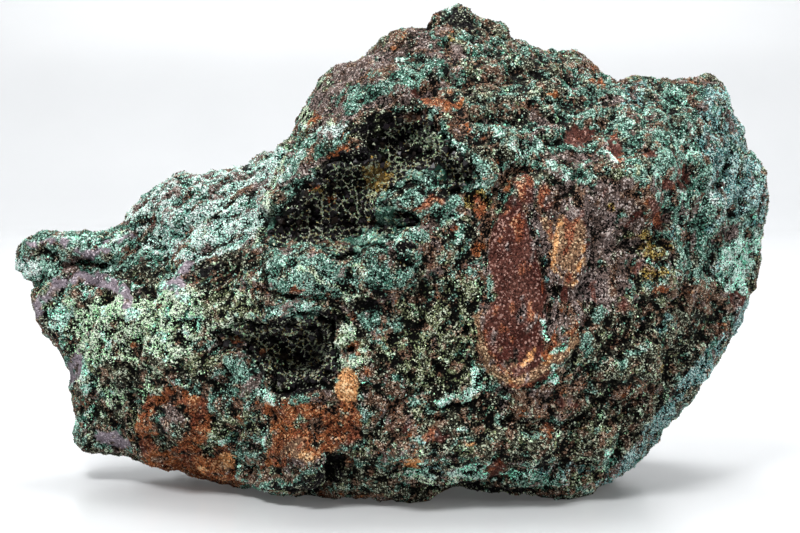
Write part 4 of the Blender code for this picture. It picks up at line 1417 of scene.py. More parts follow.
@dataclass(frozen=True)
class Growth:
    """How a stand of crystals grows.

    Args:
        form: Their form.
        size: The middle one of their half widths.
        spread: How much their sizes differ, as a share.
        tall: Their height for their half width.
        lean: How far they lean from the surface's normal.
        sink: How deep their foot stands, for their half width.
    """

    form: Form
    size: float
    spread: float = 0.3
    tall: float = 1.3
    lean: float = 0.6
    sink: float = 0.35

    def grow(
        self, points: Array, normals: Array, chance: Chance, scale: Array | float = 1.0
    ) -> Shape:
        """Grows one crystal on each place.

        Args:
            points: The places.
            normals: The way that the surface faces there.
            chance: Where the differences come from.
            scale: How large each one is, for the usual ones.

        Returns:
            All the crystals as one mesh.
        """
        count = len(points)
        axis = normals + self.lean * chance.normal(size=(count, 3)) / math.sqrt(3.0)
        axis /= np.linalg.norm(axis, axis=1)[:, None]
        first = np.cross(axis, chance.normal(size=(count, 3)))
        first /= np.linalg.norm(first, axis=1)[:, None]
        second = np.cross(axis, first)
        size = scale * self.size * np.exp(self.spread * chance.normal(size=count).clip(-2.0, 1.5))
        wide = size[:, None] * chance.uniform(0.75, 1.3, (count, 2))
        high = size * self.tall * chance.uniform(0.75, 1.3, count)
        corners = self.form.corners
        placed = (points - self.sink * size[:, None] * normals)[:, None]
        placed = placed + corners[None, :, 0, None] * (first * wide[:, :1])[:, None]
        placed = placed + corners[None, :, 1, None] * (second * wide[:, 1:])[:, None]
        placed = placed + corners[None, :, 2, None] * (axis * high[:, None])[:, None]
        step = len(corners) * np.arange(count)
        triangles = self.form.faces[None] + step[:, None, None]
        return Shape(placed.reshape(-1, 3), triangles.reshape(-1, 3))


def of_tone(name: str, kinds: Array) -> Array:
    """One value of each place's mineral, whose codes for colours become linear colours."""
    values = [getattr(TONES[mineral], name) for mineral in MINERALS]
    return np.array([rgb(value) if isinstance(value, str) else value for value in values])[kinds]


@dataclass
class Colouring:
    """Gives the surface and its crystals their colours.

    Args:
        seed: Picks the pattern.
        patch: The width of the stretches that vary in colour together.
        shade: The width and the strength of lighter and deeper stretches.
        bare: The width and the strength of stretches with fewer grains.
        crest: How many more grains there are on a crest than beside it, which paints the crests
            lighter and the hollows, where more dark ground shows, in shade.
        crest_highlight: How many more of them are the palest ones there, as a share: a painted
            highlight on the crests.
        uneven: How strongly the crystals differ in brightness.
    """

    seed: int = Seed.COLOUR
    patch: float = 5.0
    shade: Pair = (9.0, 0.22)
    bare: Pair = (3.1, 0.10)
    crest: float = 0.28
    crest_highlight: float = 1.1
    uneven: float = 0.8

    def drift(self, points: Array) -> Array:
        """How far each place's colour has drifted towards its mineral's second one, from 0 to 1."""
        return np.clip(0.45 + 0.8 * Noise(self.seed).streaky(points, self.patch, 3), 0.0, 1.0)

    def body(self, minerals: Array, points: Array, drift: Array) -> Array:
        """The colour of the grains at each place.

        Args:
            minerals: Each place's mineral, by its number.
            points: The places.
            drift: How far each colour has drifted, from 0 to 1.

        Returns:
            Linear colours.
        """
        first = of_tone("body", minerals)
        second = of_tone("second", minerals)
        width, strength = self.shade
        deep = 1.0 + strength * Noise(self.seed + 2).layered(points, width, 2)
        return (first + (second - first) * drift[:, None]) * deep[:, None]

    def cover(self, minerals: Array, points: Array, rise: Array) -> Array:
        """The share of the surface that grains hide: more on crests and less in the hollows, which
        paints light on the crests and shade in the hollows.

        Args:
            minerals: Each place's mineral, by its number.
            points: The places.
            rise: How far each place stands out from what is round it, from -1 to 1.

        Returns:
            A share for each place.
        """
        width, strength = self.bare
        # The rise term is painted light and shade: crests hide more of the dark ground, hollows show
        # more of it.
        thinning = strength * Noise(self.seed + 1).smooth(points, width) + self.crest * rise
        thinning *= np.sqrt(of_tone("relief", minerals))
        return np.clip(of_tone("cover", minerals) + thinning, 0.02, 0.97)

    def flecks(self, minerals: Array, rise: Array) -> Array:
        """The share of the palest grains, which crests have more of as a painted highlight."""
        return np.clip(of_tone("flecks", minerals) * (1.0 + self.crest_highlight * rise), 0.0, 0.6)

    def grains(
        self, minerals: Array, points: Array, rise: Array, chance: Chance
    ) -> Array:
        """The colour of each crystal.

        Args:
            minerals: Each place's mineral, by its number.
            points: The places.
            rise: How far each place stands out from what is round it, from -1 to 1.
            chance: Where the differences come from.

        Returns:
            Linear colours.
        """
        count = len(points)
        drift = np.clip(self.drift(points) + 0.15 * chance.normal(size=count), 0.0, 1.0)
        contrast = of_tone("contrast", minerals)
        colour = self.body(minerals, points, drift)
        uneven = self.uneven * contrast * chance.normal(size=count).clip(-2.0, 1.3)
        colour *= np.exp(uneven)[:, None]
        # Crystals on crests take the palest colour more often: a painted highlight.
        pale = chance.random(count) < self.flecks(minerals, rise)
        return np.where(pale[:, None], of_tone("fleck", minerals), colour)


@dataclass
class Stone:
    """The lump's own surface: its lumps, ledges and pits, and the minerals on it.

    Args:
        minerals: Which mineral is where.
        front_edge: The longest edge on the front.
        far_edge: The longest edge elsewhere.
        lumps: The width and the height of each size of lump.
        folds: The width and the height of each size of sharp fold.
        pits: The width and the depth of the small pits.
        sway: How far the front's ridges and ledges wander, in steps of the frame.
        bends: The width of their bends.
        clear: How far from a hollow's crust the surface starts to be roughened.
        foot: Up to this height the surface belongs to the feet, which stay flat.
    """

    minerals: MineralMap
    front_edge: float = 1.09
    far_edge: float = 3.0
    lumps: tuple[Pair, ...] = ((9.0, 1.2), (4.6, 0.95), (2.4, 0.8), (1.5, 0.55))
    folds: tuple[Pair, ...] = ((11.0, 1.9), (4.6, 1.3), (2.2, 0.7))
    pits: Pair = (4.2, 1.3)
    sway: float = 2.5
    bends: float = 6.0
    clear: float = 1.2
    foot: float = 0.02
    shape: Shape = field(init=False)
    free: Array = field(init=False)
    rise: Array = field(init=False)

    def longest(self, shape: Shape) -> Array:
        """The longest edge wanted at each vertex."""
        front = smoothstep(-0.25, 0.15, VIEW.facing(shape.points, shape.normals()))
        return self.far_edge + (self.front_edge - self.far_edge) * front

    def settled(self, shape: Shape, rounds: int, crusts: Sequence[Shape]) -> Shape:
        """Rounds the broken faces off a little, away from the feet and the hollows.

        Args:
            shape: The mesh.
            rounds: How many times it is smoothed.
            crusts: The hollows' crusts.

        Returns:
            The smoother mesh.
        """
        free = self.away_from(shape.points, crusts)[:, None]
        points = shape.points
        for _ in range(rounds):
            points = points + 0.5 * free * (shape.neighbours_mean(points) - points)
        return Shape(points, shape.triangles)

    def away_from(self, points: Array, crusts: Sequence[Shape]) -> Array:
        """How free each place is to be roughened: 0 on the feet and by the crusts, 1 elsewhere.

        Args:
            points: The places.
            crusts: The hollows' crusts.

        Returns:
            A share for each place.
        """
        free = smoothstep(self.foot, 1.2, points[:, 2])
        for crust in crusts:
            tree = BVHTree.FromPolygons(crust.points.tolist(), crust.triangles.tolist())
            low = crust.points.min(axis=0) - 4.0
            high = crust.points.max(axis=0) + 4.0
            near = np.flatnonzero(((points > low) & (points < high)).all(axis=1))
            away = np.array([tree.find_nearest(point)[3] for point in points[near].tolist()])
            free[near] = np.minimum(free[near], smoothstep(self.clear, self.clear + 2.0, away))
        return free

    def roughened(self, shape: Shape, crusts: Sequence[Shape]) -> Shape:
        """Raises the lumps, ledges and pits.

        Args:
            shape: The mesh.
            crusts: The hollows' crusts.

        Returns:
            The rougher mesh.
        """
        points, normals = shape.points, shape.normals()
        free = self.away_from(points, crusts)
        kinds = self.minerals.choose(points, normals)
        relief = shape.neighbours_mean(of_tone("relief", kinds), 3)
        lift = np.zeros(len(points))
        ways = [Noise(Seed.LUMP_WANDER + axis).smooth(points, 5.0) for axis in range(3)]
        wander = np.stack(ways, axis=1)
        for number, (width, height) in enumerate(self.lumps):
            away, key = Noise(Seed.LUMPS + number).cells(points + 0.25 * width * wander, width)
            size = 0.5 + key / 255.0
            lift += relief * height * size * (0.55 - away**2)
        for number, (width, height) in enumerate(self.folds):
            fold = np.abs(Noise(Seed.FOLDS + number).streaky(points, width))
            lift += relief * height * (0.3 - fold)
        width, depth = self.pits
        lift -= relief * depth * smoothstep(0.35, 0.75, Noise(Seed.PITS).smooth(points, width))
        front = smoothstep(0.0, 0.25, VIEW.facing(points, normals))
        places = VIEW.places(points)
        for axis in range(2):
            noise = Noise(Seed.RELIEF_WANDER + axis)
            places[:, axis] += self.sway * noise.smooth(points, self.bends)
        for feature in RELIEF:
            lift += front * feature.lift(places)
        moved = points + (free * lift)[:, None] * normals
        moved[:, 2] = np.maximum(moved[:, 2], 0.0)
        return Shape(moved, shape.triangles)

    @staticmethod
    def standing_out(shape: Shape) -> Array:
        """How far each vertex stands out from what is round it, from -1 in a pit to 1 on a crest.

        Args:
            shape: The mesh.

        Returns:
            A number for each vertex.
        """
        mean = shape.neighbours_mean(shape.points, 8)
        out = np.einsum("ij,ij->i", shape.points - mean, shape.normals())
        return np.clip(out / 0.35, -1.0, 1.0)

    def build(self, crusts: Sequence[Shape]) -> Piece:
        """Builds the surface.

        Args:
            crusts: The hollows' crusts, which it stays clear of.

        Returns:
            The piece that stands for the stone.
        """
        shape = shape_of(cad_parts["stone"])
        for splits, rounds in ((2, 3), (4, 2)):
            shape = self.settled(shape.refined(self.longest, splits), rounds, crusts)
        places = SixSides().lay(shape, shape.neighbours_mean(shape.normals(), 6))
        shape = self.roughened(shape, crusts)
        self.shape = shape
        self.free = self.away_from(shape.points, crusts)
        self.rise = self.standing_out(shape)
        kinds = self.minerals.choose(shape.points, shape.normals())
        kinds = self.minerals.mingled(kinds, shape.points)
        colouring = Colouring()
        # Cover and the palest flecks follow the relief: painted light on the crests, painted shade in
        # the hollows.
        values = {
            "cover": colouring.cover(kinds, shape.points, self.rise),
            "flecks": colouring.flecks(kinds, self.rise),
            "dull": of_tone("dull", kinds),
            "contrast": of_tone("contrast", kinds),
        }
        colours = {
            "tint": colouring.body(kinds, shape.points, colouring.drift(shape.points)),
            "ground": of_tone("ground", kinds),
            "pale": of_tone("fleck", kinds),
        }
        return Piece("druse_surface", shape, colours, places, values, smooth=True)


@dataclass
class GrainCoat:
    """The small crystals that stand all over the stone.

    Args:
        minerals: Which mineral is where.
        front: How many places are tried on the front.
        rest: How many places are tried elsewhere.
        apart: The width of the room that each crystal takes.
        growth: How the crystals grow.
        bare: Up to this height nothing grows.
        most: The most crystals in one piece.
    """

    minerals: MineralMap
    front: int = 800_000
    rest: int = 130_000
    apart: float = 0.385
    growth: Growth = Growth(Form.SPIKE, 0.195, 0.3, 1.4, 0.7, 0.25)
    bare: float = 1.2
    most: int = 64_000

    def sown(self, stone: Stone, chance: Chance) -> tuple[Array, Array, Array]:
        """Draws the places where crystals may stand.

        Args:
            stone: The surface.
            chance: Where the places come from.

        Returns:
            The places, the way that the surface faces there and how far they stand out.
        """
        shape = stone.shape
        areas = shape.areas()
        normals = shape.normals()
        middles = shape.points[shape.triangles].mean(axis=1)
        faces = shape.face_normals() / np.maximum(2.0 * areas, 1e-9)[:, None]
        seen = VIEW.facing(middles, faces) > -0.05
        open_ground = (stone.free[shape.triangles].min(axis=1) > 0.15) & (middles[:, 2] > self.bare)
        drawn = []
        for share, count in ((seen, self.front), (~seen, self.rest)):
            weight = areas * share * open_ground
            drawn.append(chance.choice(len(areas), count, p=weight / weight.sum()))
        triangles = shape.triangles[np.concatenate(drawn)]
        parts = chance.dirichlet((1.0, 1.0, 1.0), len(triangles))
        points = np.einsum("ij,ijk->ik", parts, shape.points[triangles])
        rooms = np.floor(points / self.apart).astype(int)
        single = np.unique(rooms, axis=0, return_index=True)[1]
        triangles, parts, points = triangles[single], parts[single], points[single]
        facing = np.einsum("ij,ijk->ik", parts, normals[triangles])
        rise = np.einsum("ij,ij->i", parts, stone.rise[triangles])
        return points, facing / np.linalg.norm(facing, axis=1)[:, None], rise

    def build(self, stone: Stone) -> list[Piece]:
        """Grows the crystals.

        Args:
            stone: The surface that they stand on.

        Returns:
            The pieces, each a stretch of the stone from its left to its right.
        """
        chance = np.random.default_rng(Seed.COAT)
        points, normals, rise = self.sown(stone, chance)
        kinds = self.minerals.choose(points, normals)
        size = of_tone("size", kinds)
        grain = of_tone("grain", kinds)
        kinds = self.minerals.mingled(kinds, points, chance)
        colouring = Colouring()
        chances = grain * smoothstep(0.15, 0.85, colouring.cover(kinds, points, rise))
        kept = np.flatnonzero(chance.random(len(points)) < chances)
        kept = kept[np.argsort(points[kept, 0], kind="stable")]
        points, normals, rise, kinds = points[kept], normals[kept], rise[kept], kinds[kept]
        # The crystals' colours carry the painted highlight on crests.
        tint = colouring.grains(kinds, points, rise, chance)
        shape = self.growth.grow(points, normals, chance, size[kept])
        corners, faces = len(self.growth.form.corners), len(self.growth.form.faces)
        shape.points[:, 2] = np.maximum(shape.points[:, 2], 0.0)
        pieces = []
        parts = math.ceil(len(points) / self.most)
        for part, chosen in enumerate(np.array_split(np.arange(len(points)), parts)):
            start, count = int(chosen[0]), len(chosen)
            own = Shape(
                shape.points[start * corners : (start + count) * corners],
                shape.triangles[start * faces : (start + count) * faces] - start * corners,
            )
            colours = {"tint": np.repeat(tint[start : start + count], corners, axis=0)}
            places = cell_map(np.full(count, faces))
            pieces.append(Piece(f"grain_coat_{part + 1}", own, colours, places))
        return pieces


# ---------------------------------------------------------------- the hollows

BARE_KINDS = [NUMBER[M.BLACK], NUMBER[M.DARK]]  # few grains settle on these
NET_KINDS = [NUMBER[M.PALE], NUMBER[M.OLIVE]]
CRYSTAL_BLACKS = ("0E0B0E", "171317", "1E191E", "0A0A0A", "241D19")


@dataclass
class Hollow:
    """The lining of one hollow: its crust, its dark crystals and the pale grains on their edges.

    Args:
        name: The piece's name.
        node: The crust's node.
        minerals: Which mineral is where.
        crystals: How many places for dark crystals are tried for each square centimetre.
        apart: How far apart the dark crystals stand at least.
        net: How many places for the pale net between them are tried for each square centimetre.
        line: The usual width of the net's lines.
        broken: The width and the strength of its thicker and its bare stretches.
        net_draws: Up to which draw, from 0 to 1, the net is olive, and up to which ochre.
        dust: How many pale grains are tried for each square centimetre.
        settle: The chances that a grain settles on dark ground and on pale ground.
        hollow_shade: How bright the crust's colours are beside the stone's own: painted shade that
            darkens the crust inside the hollow.
        dulls: The roughness of the crust, of its dark crystals and of its grains.
        crystal: How the dark crystals grow.
        needle: How the net's pale needles grow.
        grain: How the small grains grow.
        edge: The longest edge of the crust.
        reach: How far its crystals may pass the crust's lowest corner.
    """

    name: str
    node: str
    minerals: MineralMap
    crystals: int = 220
    apart: float = 1.5
    net: int = 9000
    line: float = 0.08
    broken: Pair = (3.4, 3.0)
    net_draws: Pair = (0.2, 0.45)
    dust: int = 900
    settle: Pair = (0.16, 0.55)
    hollow_shade: float = 0.6
    dulls: Triple = (0.5, 0.34, 0.5)
    crystal: Growth = Growth(Form.OCTAHEDRON, 0.86, 0.2, 0.8, 3.0, 0.1)
    needle: Growth = Growth(Form.SPIKE, 0.135, 0.35, 2.6, 0.3, 0.5)
    grain: Growth = Growth(Form.SPIKE, 0.18, 0.4, 1.2, 0.9, 0.3)
    edge: float = 1.1
    reach: Triple = (3.0, 2.0, 3.0)
    shape: Shape = field(init=False)

    def __post_init__(self) -> None:
        """Reads the crust."""
        self.shape = shape_of(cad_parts[self.node])

    def open_places(self, shape: Shape, count: int, chance: Chance) -> tuple[Array, Array]:
        """Draws places on the crust's open side, with the way that it faces there.

        Args:
            shape: The crust.
            count: How many places each square centimetre has.
            chance: Where the places come from.

        Returns:
            The places and the ways that the crust faces.
        """
        faces = shape.face_normals()
        areas = np.linalg.norm(faces, axis=1) / 2.0
        faces /= np.maximum(2.0 * areas, 1e-9)[:, None]
        middles = shape.points[shape.triangles].mean(axis=1)
        low, high = shape.points.min(axis=0), shape.points.max(axis=0)
        mouth = np.array([(low[0] + high[0]) / 2, low[1] - 8.0, (low[2] + high[2]) / 2])
        inward = np.einsum("ij,ij->i", faces, mouth - middles) > 0.0
        weight = areas * inward
        total = round(count * weight.sum() / 100.0)
        drawn = chance.choice(len(areas), total, p=weight / weight.sum())
        parts = chance.dirichlet((1.0, 1.0, 1.0), total)
        points = np.einsum("ij,ijk->ik", parts, shape.points[shape.triangles[drawn]])
        return points, faces[drawn]

    def build(self) -> Piece:
        """Builds the lining as one piece.

        Returns:
            The lining.
        """
        chance = np.random.default_rng(len(self.name))
        colouring = Colouring()
        crust = self.shape.refined(lambda shape: np.full(len(shape.points), self.edge), 3)
        crust_kinds = self.minerals.choose(crust.points, crust.normals())
        dark = np.isin(crust_kinds, BARE_KINDS + NET_KINDS)
        # Painted shade inside the hollow: the crust takes its dark ground colour where dark crystals
        # or the net grow, and elsewhere the stone's colours darkened to a share of their brightness.
        crust_tint = np.where(
            dark[:, None],
            of_tone("ground", crust_kinds),
            self.hollow_shade * of_tone("body", crust_kinds),
        )
        points, normals = self.open_places(crust, self.crystals, chance)
        kinds = self.minerals.choose(points, normals)
        dark = np.isin(kinds, BARE_KINDS + NET_KINDS)
        points, normals = points[dark], normals[dark]
        single = self.spaced(points)
        points, normals = points[single], normals[single]
        stand = self.crystal.grow(points, normals, chance)
        blacks = np.array([rgb(code) for code in CRYSTAL_BLACKS])
        corners = len(self.crystal.form.corners)
        stand_tint = np.repeat(blacks[chance.integers(0, len(blacks), len(points))], corners, axis=0)
        lines, line_normals = self.between(crust, points, chance)
        line_kinds = np.full(len(lines), NUMBER[M.PALE])
        drawn = chance.random(len(lines))
        line_kinds[drawn < self.net_draws[1]] = NUMBER[M.OCHRE]
        line_kinds[drawn < self.net_draws[0]] = NUMBER[M.OLIVE]
        spots, spot_normals = self.open_places(crust, self.dust, chance)
        spot_kinds = self.minerals.choose(spots, spot_normals)
        chances = np.ones(len(MINERALS))
        chances[BARE_KINDS], chances[NET_KINDS] = self.settle
        kept = chance.random(len(spot_kinds)) < chances[spot_kinds]
        spots, spot_normals, spot_kinds = spots[kept], spot_normals[kept], spot_kinds[kept]
        grains = joined([
            self.needle.grow(lines, line_normals, chance),
            self.grain.grow(spots, spot_normals, chance, 1.6),
        ])
        places = np.concatenate([lines, spots])
        # The net's places count as crests, so they get the painted crest highlight; the dust's count
        # as level ground.
        level = np.concatenate([np.ones(len(lines)), np.zeros(len(spots))])
        grain_tint = colouring.grains(np.concatenate([line_kinds, spot_kinds]), places, level, chance)
        grain_tint = np.repeat(grain_tint, len(self.grain.form.corners), axis=0)
        parts = (crust, stand, grains)
        dull = np.repeat(self.dulls, [len(part.points) for part in parts])
        shape = joined(parts)
        shape.points = np.maximum(shape.points, np.array(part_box(self.node)[0]) / MM - self.reach)
        cells = np.repeat(
            (1, len(self.crystal.form.faces), len(self.grain.form.faces)),
            (len(crust.triangles), len(points), len(places)),
        )
        colours = {"tint": np.concatenate([crust_tint, stand_tint, grain_tint])}
        return Piece(self.name, shape, colours, cell_map(cells), {"dull": dull})

    def spaced(self, points: Array) -> Array:
        """Picks the places that keep their distance from those picked before them.

        Args:
            points: The places.

        Returns:
            The numbers of the places that are picked.
        """
        picked: list[int] = []
        for index, point in enumerate(points):
            if not picked or np.linalg.norm(points[picked] - point, axis=1).min() > self.apart:
                picked.append(index)
        return np.array(picked)

    def between(self, crust: Shape, stands: Array, chance: Chance) -> tuple[Array, Array]:
        """Draws places on the pale net that grows half way between the dark crystals.

        Args:
            crust: The crust that they stand on.
            stands: Where the dark crystals stand.
            chance: Where the places come from.

        Returns:
            The places and the way that the crust faces there.
        """
        places, normals = self.open_places(crust, self.net, chance)
        beyond = np.empty(len(places))
        for some in np.array_split(np.arange(len(places)), 1 + len(places) // 4000):
            away = np.linalg.norm(places[some, None] - stands[None], axis=2)
            nearest = np.partition(away, 1, axis=1)
            beyond[some] = nearest[:, 1] - nearest[:, 0]
        width, strength = self.broken
        kept = beyond < self.line * (1.0 + strength * Noise(Seed.NET).layered(places, width, 3))
        return places[kept], normals[kept]


def joined(shapes: Sequence[Shape]) -> Shape:
    """Puts meshes side by side in one.

    Args:
        shapes: The meshes.

    Returns:
        The one mesh.
    """
    start = np.cumsum([0] + [len(shape.points) for shape in shapes])
    return Shape(
        np.concatenate([shape.points for shape in shapes]),
        np.concatenate([shape.triangles + first for shape, first in zip(shapes, start)]),
    )


# ---------------------------------------------------------------- finishes


@dataclass(frozen=True)
class Term:
    """A shader value that can be reckoned with.

    Args:
        nodes: The nodes that it is part of.
        socket: The output that holds it.
    """

    nodes: Nodes
    socket: bpy.types.NodeSocket

    def maths(self, operation: str, *others: Term | float) -> Term:
        """Adds a Math node on this value and others."""
        values = dict(enumerate((self, *others)))
        return self.nodes.add("ShaderNodeMath", {"operation": operation}, values)

    def __add__(self, other: Term | float) -> Term:
        """The sum."""
        return self.maths("ADD", other)

    __radd__ = __add__

    def __mul__(self, other: Term | float) -> Term:
        """The product."""
        return self.maths("MULTIPLY", other)

    __rmul__ = __mul__

    def __sub__(self, other: Term | float) -> Term:
        """The difference."""
        return self.maths("SUBTRACT", other)

    def __rsub__(self, other: float) -> Term:
        """A number less this value."""
        return (self * -1.0).maths("ADD", other)


@dataclass
class Nodes:
    """The node tree of one material.

    Args:
        tree: The tree.
    """

    tree: bpy.types.NodeTree

    def add(
        self,
        kind: str,
        settings: dict[str, object] | None = None,
        inputs: dict[int | str, object] | None = None,
        output: int | str | None = 0,
    ) -> Term | None:
        """Adds a node.

        Args:
            kind: The node's type.
            settings: Its own settings, which are set first.
            inputs: The value or the link of each socket.
            output: The output that is wanted, or None for a node that has none.

        Returns:
            That output, if any.
        """
        node = self.tree.nodes.new(kind)
        for name, value in (settings or {}).items():
            setattr(node, name, value)
        for name, value in (inputs or {}).items():
            if isinstance(value, Term):
                self.tree.links.new(value.socket, node.inputs[name])
            else:
                node.inputs[name].default_value = value
        return None if output is None else Term(self, node.outputs[output])

    def attribute(self, name: str, output: str = "Fac") -> Term:
        """A number or a colour that the mesh holds."""
        return self.add("ShaderNodeAttribute", {"attribute_name": name}, output=output)

    def blend(self, first: object, second: object, share: object, way: str = "MIX") -> Term:
        """Mixes two colours."""
        settings = {"data_type": "RGBA", "blend_type": way, "clamp_factor": True}
        return self.add("ShaderNodeMix", settings, {0: share, 6: first, 7: second}, output=2)

    def scaled(self, colour: Term, factor: Term) -> Term:
        """A colour made brighter or darker."""
        values = {0: colour, "Scale": factor}
        return self.add("ShaderNodeVectorMath", {"operation": "SCALE"}, values)

    def edge(self, value: Term, steepness: float) -> Term:
        """A soft edge where a value passes 0: from 0 below it to 1 above it."""
        values = {0: value, 1: steepness, 2: 0.5}
        return self.add("ShaderNodeMath", {"operation": "MULTIPLY_ADD", "use_clamp": True}, values)

    def speckle(self, size: float) -> tuple[Term, Term, Term]:
        """Grains that lie side by side, each of them size millimetres wide.

        Args:
            size: The width of a grain.

        Returns:
            How far each spot is from the middle of its grain, in grains, and two numbers from 0 to 1
            that each grain has for itself.
        """
        place = self.add("ShaderNodeTexCoord", output="Object")
        away = self.add("ShaderNodeTexVoronoi", {}, {"Vector": place, "Scale": 1.0 / (size * MM)})
        colour = Term(self, away.socket.node.outputs["Color"])
        own = self.add("ShaderNodeSeparateColor", {}, {0: colour})
        return away, own, Term(self, own.socket.node.outputs[1])

    def ripple(self, size: float, detail: float = 3.0) -> Term:
        """Soft noise from 0 to 1 whose bumps are size millimetres wide."""
        place = self.add("ShaderNodeTexCoord", output="Object")
        values = {"Vector": place, "Scale": 1.0 / (size * MM), "Detail": detail}
        return self.add("ShaderNodeTexNoise", {}, values)


def new_material(name: str) -> tuple[bpy.types.Material, Nodes]:
    """Makes a material with no nodes but its output.

    Args:
        name: Its name.

    Returns:
        The material and its nodes.
    """
    made = bpy.data.materials.new(name)
    made.use_nodes = True
    made.node_tree.nodes.clear()
    return made, Nodes(made.node_tree)


def finished(nodes: Nodes, inputs: dict[int | str, object]) -> None:
    """Ends a material with a Principled shader that has these inputs."""
    shader = nodes.add("ShaderNodeBsdfPrincipled", {}, inputs)
    nodes.add("ShaderNodeOutputMaterial", {}, {"Surface": shader}, None)


@dataclass(frozen=True)
class DruseFinish:
    """The stone's own surface: its finest grains, their dark ground, which is partly painted shade in
    the pores, and their palest flecks, which crests get more of as a painted highlight.

    Args:
        cell: The width of a grain.
        room: How far a grain without contrast reaches from its middle, in grains.
        gap: The width of a stretch with fewer grains.
        thin: How strongly the share of grains varies between such stretches.
        depth: How strongly the grains' brightness differs.
        bump: The height of its finest grain.
        shine: How strongly it mirrors, where 0.5 is glass.
    """

    cell: float = 0.44
    room: float = 1.2
    gap: float = 0.8
    thin: float = 1.3
    depth: float = 1.7
    bump: float = 0.22
    shine: float = 0.05

    def make(self) -> bpy.types.Material:
        """Makes the material.

        Returns:
            The material.
        """
        made, nodes = new_material("druse")
        away, grain, light = nodes.speckle(self.cell)
        contrast = nodes.attribute("contrast")
        bright = 1.0 + (light - 0.5) * contrast * self.depth
        body = nodes.scaled(nodes.attribute("tint", "Color"), bright)
        within = nodes.edge(self.room - 0.58 * contrast - away, 8.0)
        cover = nodes.attribute("cover") + self.thin * contrast * (nodes.ripple(self.gap, 1.0) - 0.5)
        covered = nodes.edge(grain - (1.0 - cover), 9.0) * within
        # Where grains are missing the ground shows: partly the dark matrix, partly painted shade in
        # the pores.
        colour = nodes.blend(nodes.attribute("ground", "Color"), body, covered)
        # The palest flecks, more of them on crests as a painted highlight.
        fleck = nodes.edge(light - (1.0 - nodes.attribute("flecks")), 8.0) * covered
        colour = nodes.blend(colour, nodes.attribute("pale", "Color"), fleck)
        height = nodes.ripple(0.5) - 1.2 * away
        values = {"Strength": 0.9, "Distance": self.bump * MM, "Height": height}
        bump = nodes.add("ShaderNodeBump", {}, values)
        rough = nodes.attribute("dull") + 0.25 * (nodes.ripple(1.3) - 0.5)
        inputs = {"Base Color": colour, "Roughness": rough, "Normal": bump}
        finished(nodes, inputs | {"Specular IOR Level": self.shine})
        return made


@dataclass(frozen=True)
class GrainFinish:
    """Small crystals with bright flat faces.

    Args:
        name: The material's name.
        rough: The roughness of a face.
        cloud: How much a crystal's colour clouds over, from 0 to 1.
        shine: How strongly its faces mirror, where 0.5 is glass.
    """

    name: str = "malachite_grain"
    rough: float = 0.42
    cloud: float = 0.35
    shine: float = 0.12

    def make(self) -> bpy.types.Material:
        """Makes the material.

        Returns:
            The material.
        """
        made, nodes = new_material(self.name)
        tint = nodes.attribute("tint", "Color")
        deep = nodes.blend(tint, (0.55, 0.6, 0.58, 1.0), 1.0, "MULTIPLY")
        colour = nodes.blend(tint, deep, nodes.ripple(0.6) * self.cloud)
        rough = self.rough + 0.2 * (nodes.ripple(2.5) - 0.5)
        finished(nodes, {"Base Color": colour, "Roughness": rough, "Specular IOR Level": self.shine})
        return made


@dataclass(frozen=True)
class LiningFinish:
    """The hollows' dark mirror-bright crystals with dull pale grains on their edges.

    Args:
        shine: How strongly the faces mirror, where 0.5 is glass.
    """

    shine: float = 0.2

    def make(self) -> bpy.types.Material:
        """Makes the material.

        Returns:
            The material.
        """
        made, nodes = new_material("dark_crystal")
        tint = nodes.attribute("tint", "Color")
        cloud = nodes.blend(tint, (0.6, 0.55, 0.55, 1.0), 1.0, "MULTIPLY")
        colour = nodes.blend(tint, cloud, nodes.ripple(0.8))
        rough = nodes.attribute("dull") + 0.12 * (nodes.ripple(1.5) - 0.5)
        finished(nodes, {"Base Color": colour, "Roughness": rough, "Specular IOR Level": self.shine})
        return made


@dataclass(frozen=True)
class PaperFinish:
    """The pale sheet that the stone stands on.

    Args:
        colour: Its colour.
        rough: Its roughness.
        glow: A faint glow painted into the sheet, which lightens the shadows cast on it.
    """

    colour: str = "CFD1D3"
    rough: float = 0.25
    glow: float = 0.06

    def make(self) -> bpy.types.Material:
        """Makes the material.

        Returns:
            The material.
        """
        made, nodes = new_material("paper")
        base = (*rgb(self.colour), 1.0)
        colour = nodes.blend(base, (0.86, 0.87, 0.88, 1.0), nodes.ripple(90.0) * 0.2)
        # Painted glow: the sheet gives off a little light of its own to lighten the shadows on it.
        glow = {"Emission Color": (1.0, 1.0, 1.0, 1.0), "Emission Strength": self.glow}
        finished(nodes, {"Base Color": colour, "Roughness": self.rough, "IOR": 1.5} | glow)
        return made


# ---------------------------------------------------------------- the studio


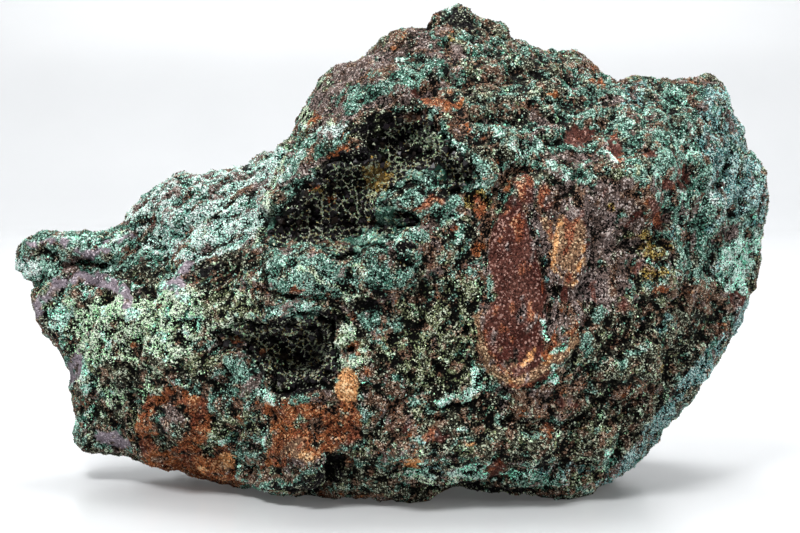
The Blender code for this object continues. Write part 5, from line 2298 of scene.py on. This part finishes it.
@dataclass
class Studio:
    """A pale sheet that curves up behind the stone, and soft lights round it.

    Args:
        half: Half the sheet's width, in metres.
        near: How far it comes towards the eye, in metres.
        far: Where it starts to curve up, in metres.
        bend: The curve's radius, in metres.
        height: The sheet's height, in metres.
        world: The strength of the light from all round.
    """

    half: float = 2.2
    near: float = -1.6
    far: float = 1.15
    bend: float = 0.35
    height: float = 2.4
    world: float = 0.17

    def sheet(self) -> bpy.types.Object:
        """Makes the sheet.

        Returns:
            The sheet.
        """
        turn = np.linspace(0.0, math.pi / 2, 16)
        along = [self.near, *(self.far + self.bend * np.sin(turn)), self.far + self.bend]
        up = [0.0, *(self.bend * (1.0 - np.cos(turn))), self.height]
        points = [(side, y, z) for y, z in zip(along, up) for side in (-self.half, self.half)]
        faces = [(2 * i, 2 * i + 1, 2 * i + 3, 2 * i + 2) for i in range(len(along) - 1)]
        mesh = bpy.data.meshes.new("studio_sheet")
        mesh.from_pydata(points, [], faces)
        mesh.polygons.foreach_set("use_smooth", [True] * len(faces))
        mesh.materials.append(PaperFinish().make())
        made = bpy.data.objects.new("studio_sheet", mesh)
        bpy.context.scene.collection.objects.link(made)
        return made

    @staticmethod
    def lamp(
        name: str,
        place: Triple,
        size: float,
        watts: float,
        aim: Triple = (0.0, 0.0, 0.06),
    ) -> None:
        """Adds a square soft light.

        Args:
            name: Its name.
            place: Where it stands, in metres.
            size: Its side, in metres.
            watts: Its power.
            aim: The place that it faces, in metres.
        """
        light = bpy.data.lights.new(name, "AREA")
        light.size = size
        light.energy = watts
        made = bpy.data.objects.new(name, light)
        made.location = place
        made.rotation_euler = (Vector(aim) - Vector(place)).to_track_quat("-Z", "Y").to_euler()
        bpy.context.scene.collection.objects.link(made)

    def build(self) -> None:
        """Sets up the sheet, the lights and the world."""
        self.sheet()
        self.lamp("key_light", (-0.25, -0.6, 0.95), 0.32, 11.2)
        self.lamp("fill_light", (0.8, -0.8, 0.55), 0.6, 3.2)
        self.lamp("top_light", (0.1, 0.3, 1.0), 0.5, 5.0)
        self.lamp("paper_light", (0.0, 0.1, 1.8), 1.6, 9.0, (0.0, 0.7, 0.3))
        self.lamp("back_light", (0.0, 0.5, 1.3), 1.2, 15.0, (0.0, 1.5, 0.3))
        world = bpy.data.worlds.new("studio_world")
        world.use_nodes = True
        light = world.node_tree.nodes["Background"]
        light.inputs["Color"].default_value = (0.97, 0.985, 1.0, 1.0)
        light.inputs["Strength"].default_value = self.world
        bpy.context.scene.world = world
        bpy.context.scene.view_settings.view_transform = "Standard"
        bpy.context.scene.view_settings.look = "None"


# ---------------------------------------------------------------- putting it together


def main() -> None:
    """Builds the stone, its grain and its hollows, and sets them in the studio."""
    logging.basicConfig(level=logging.INFO, format="%(message)s")
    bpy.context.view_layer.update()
    VIEW.camera()
    minerals = MineralMap()
    upper = Hollow("upper_hollow_lining", "upper_hollow_crust", minerals)
    lower = Hollow("lower_hollow_lining", "lower_hollow_crust", minerals)
    stone = Stone(minerals)
    surface = stone.build([upper.shape, lower.shape]).make(DruseFinish().make(), "ore")
    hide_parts("stone")
    grain_finish = GrainFinish().make()
    for coat in GrainCoat(minerals).build(stone):
        coat.make(grain_finish, "ore")
    lining_finish = LiningFinish().make()
    for hollow in (upper, lower):
        lining = hollow.build().make(lining_finish, "dark_crystal")
        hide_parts(hollow.node)
    Studio().build()


if __name__ == "__main__":
    main()
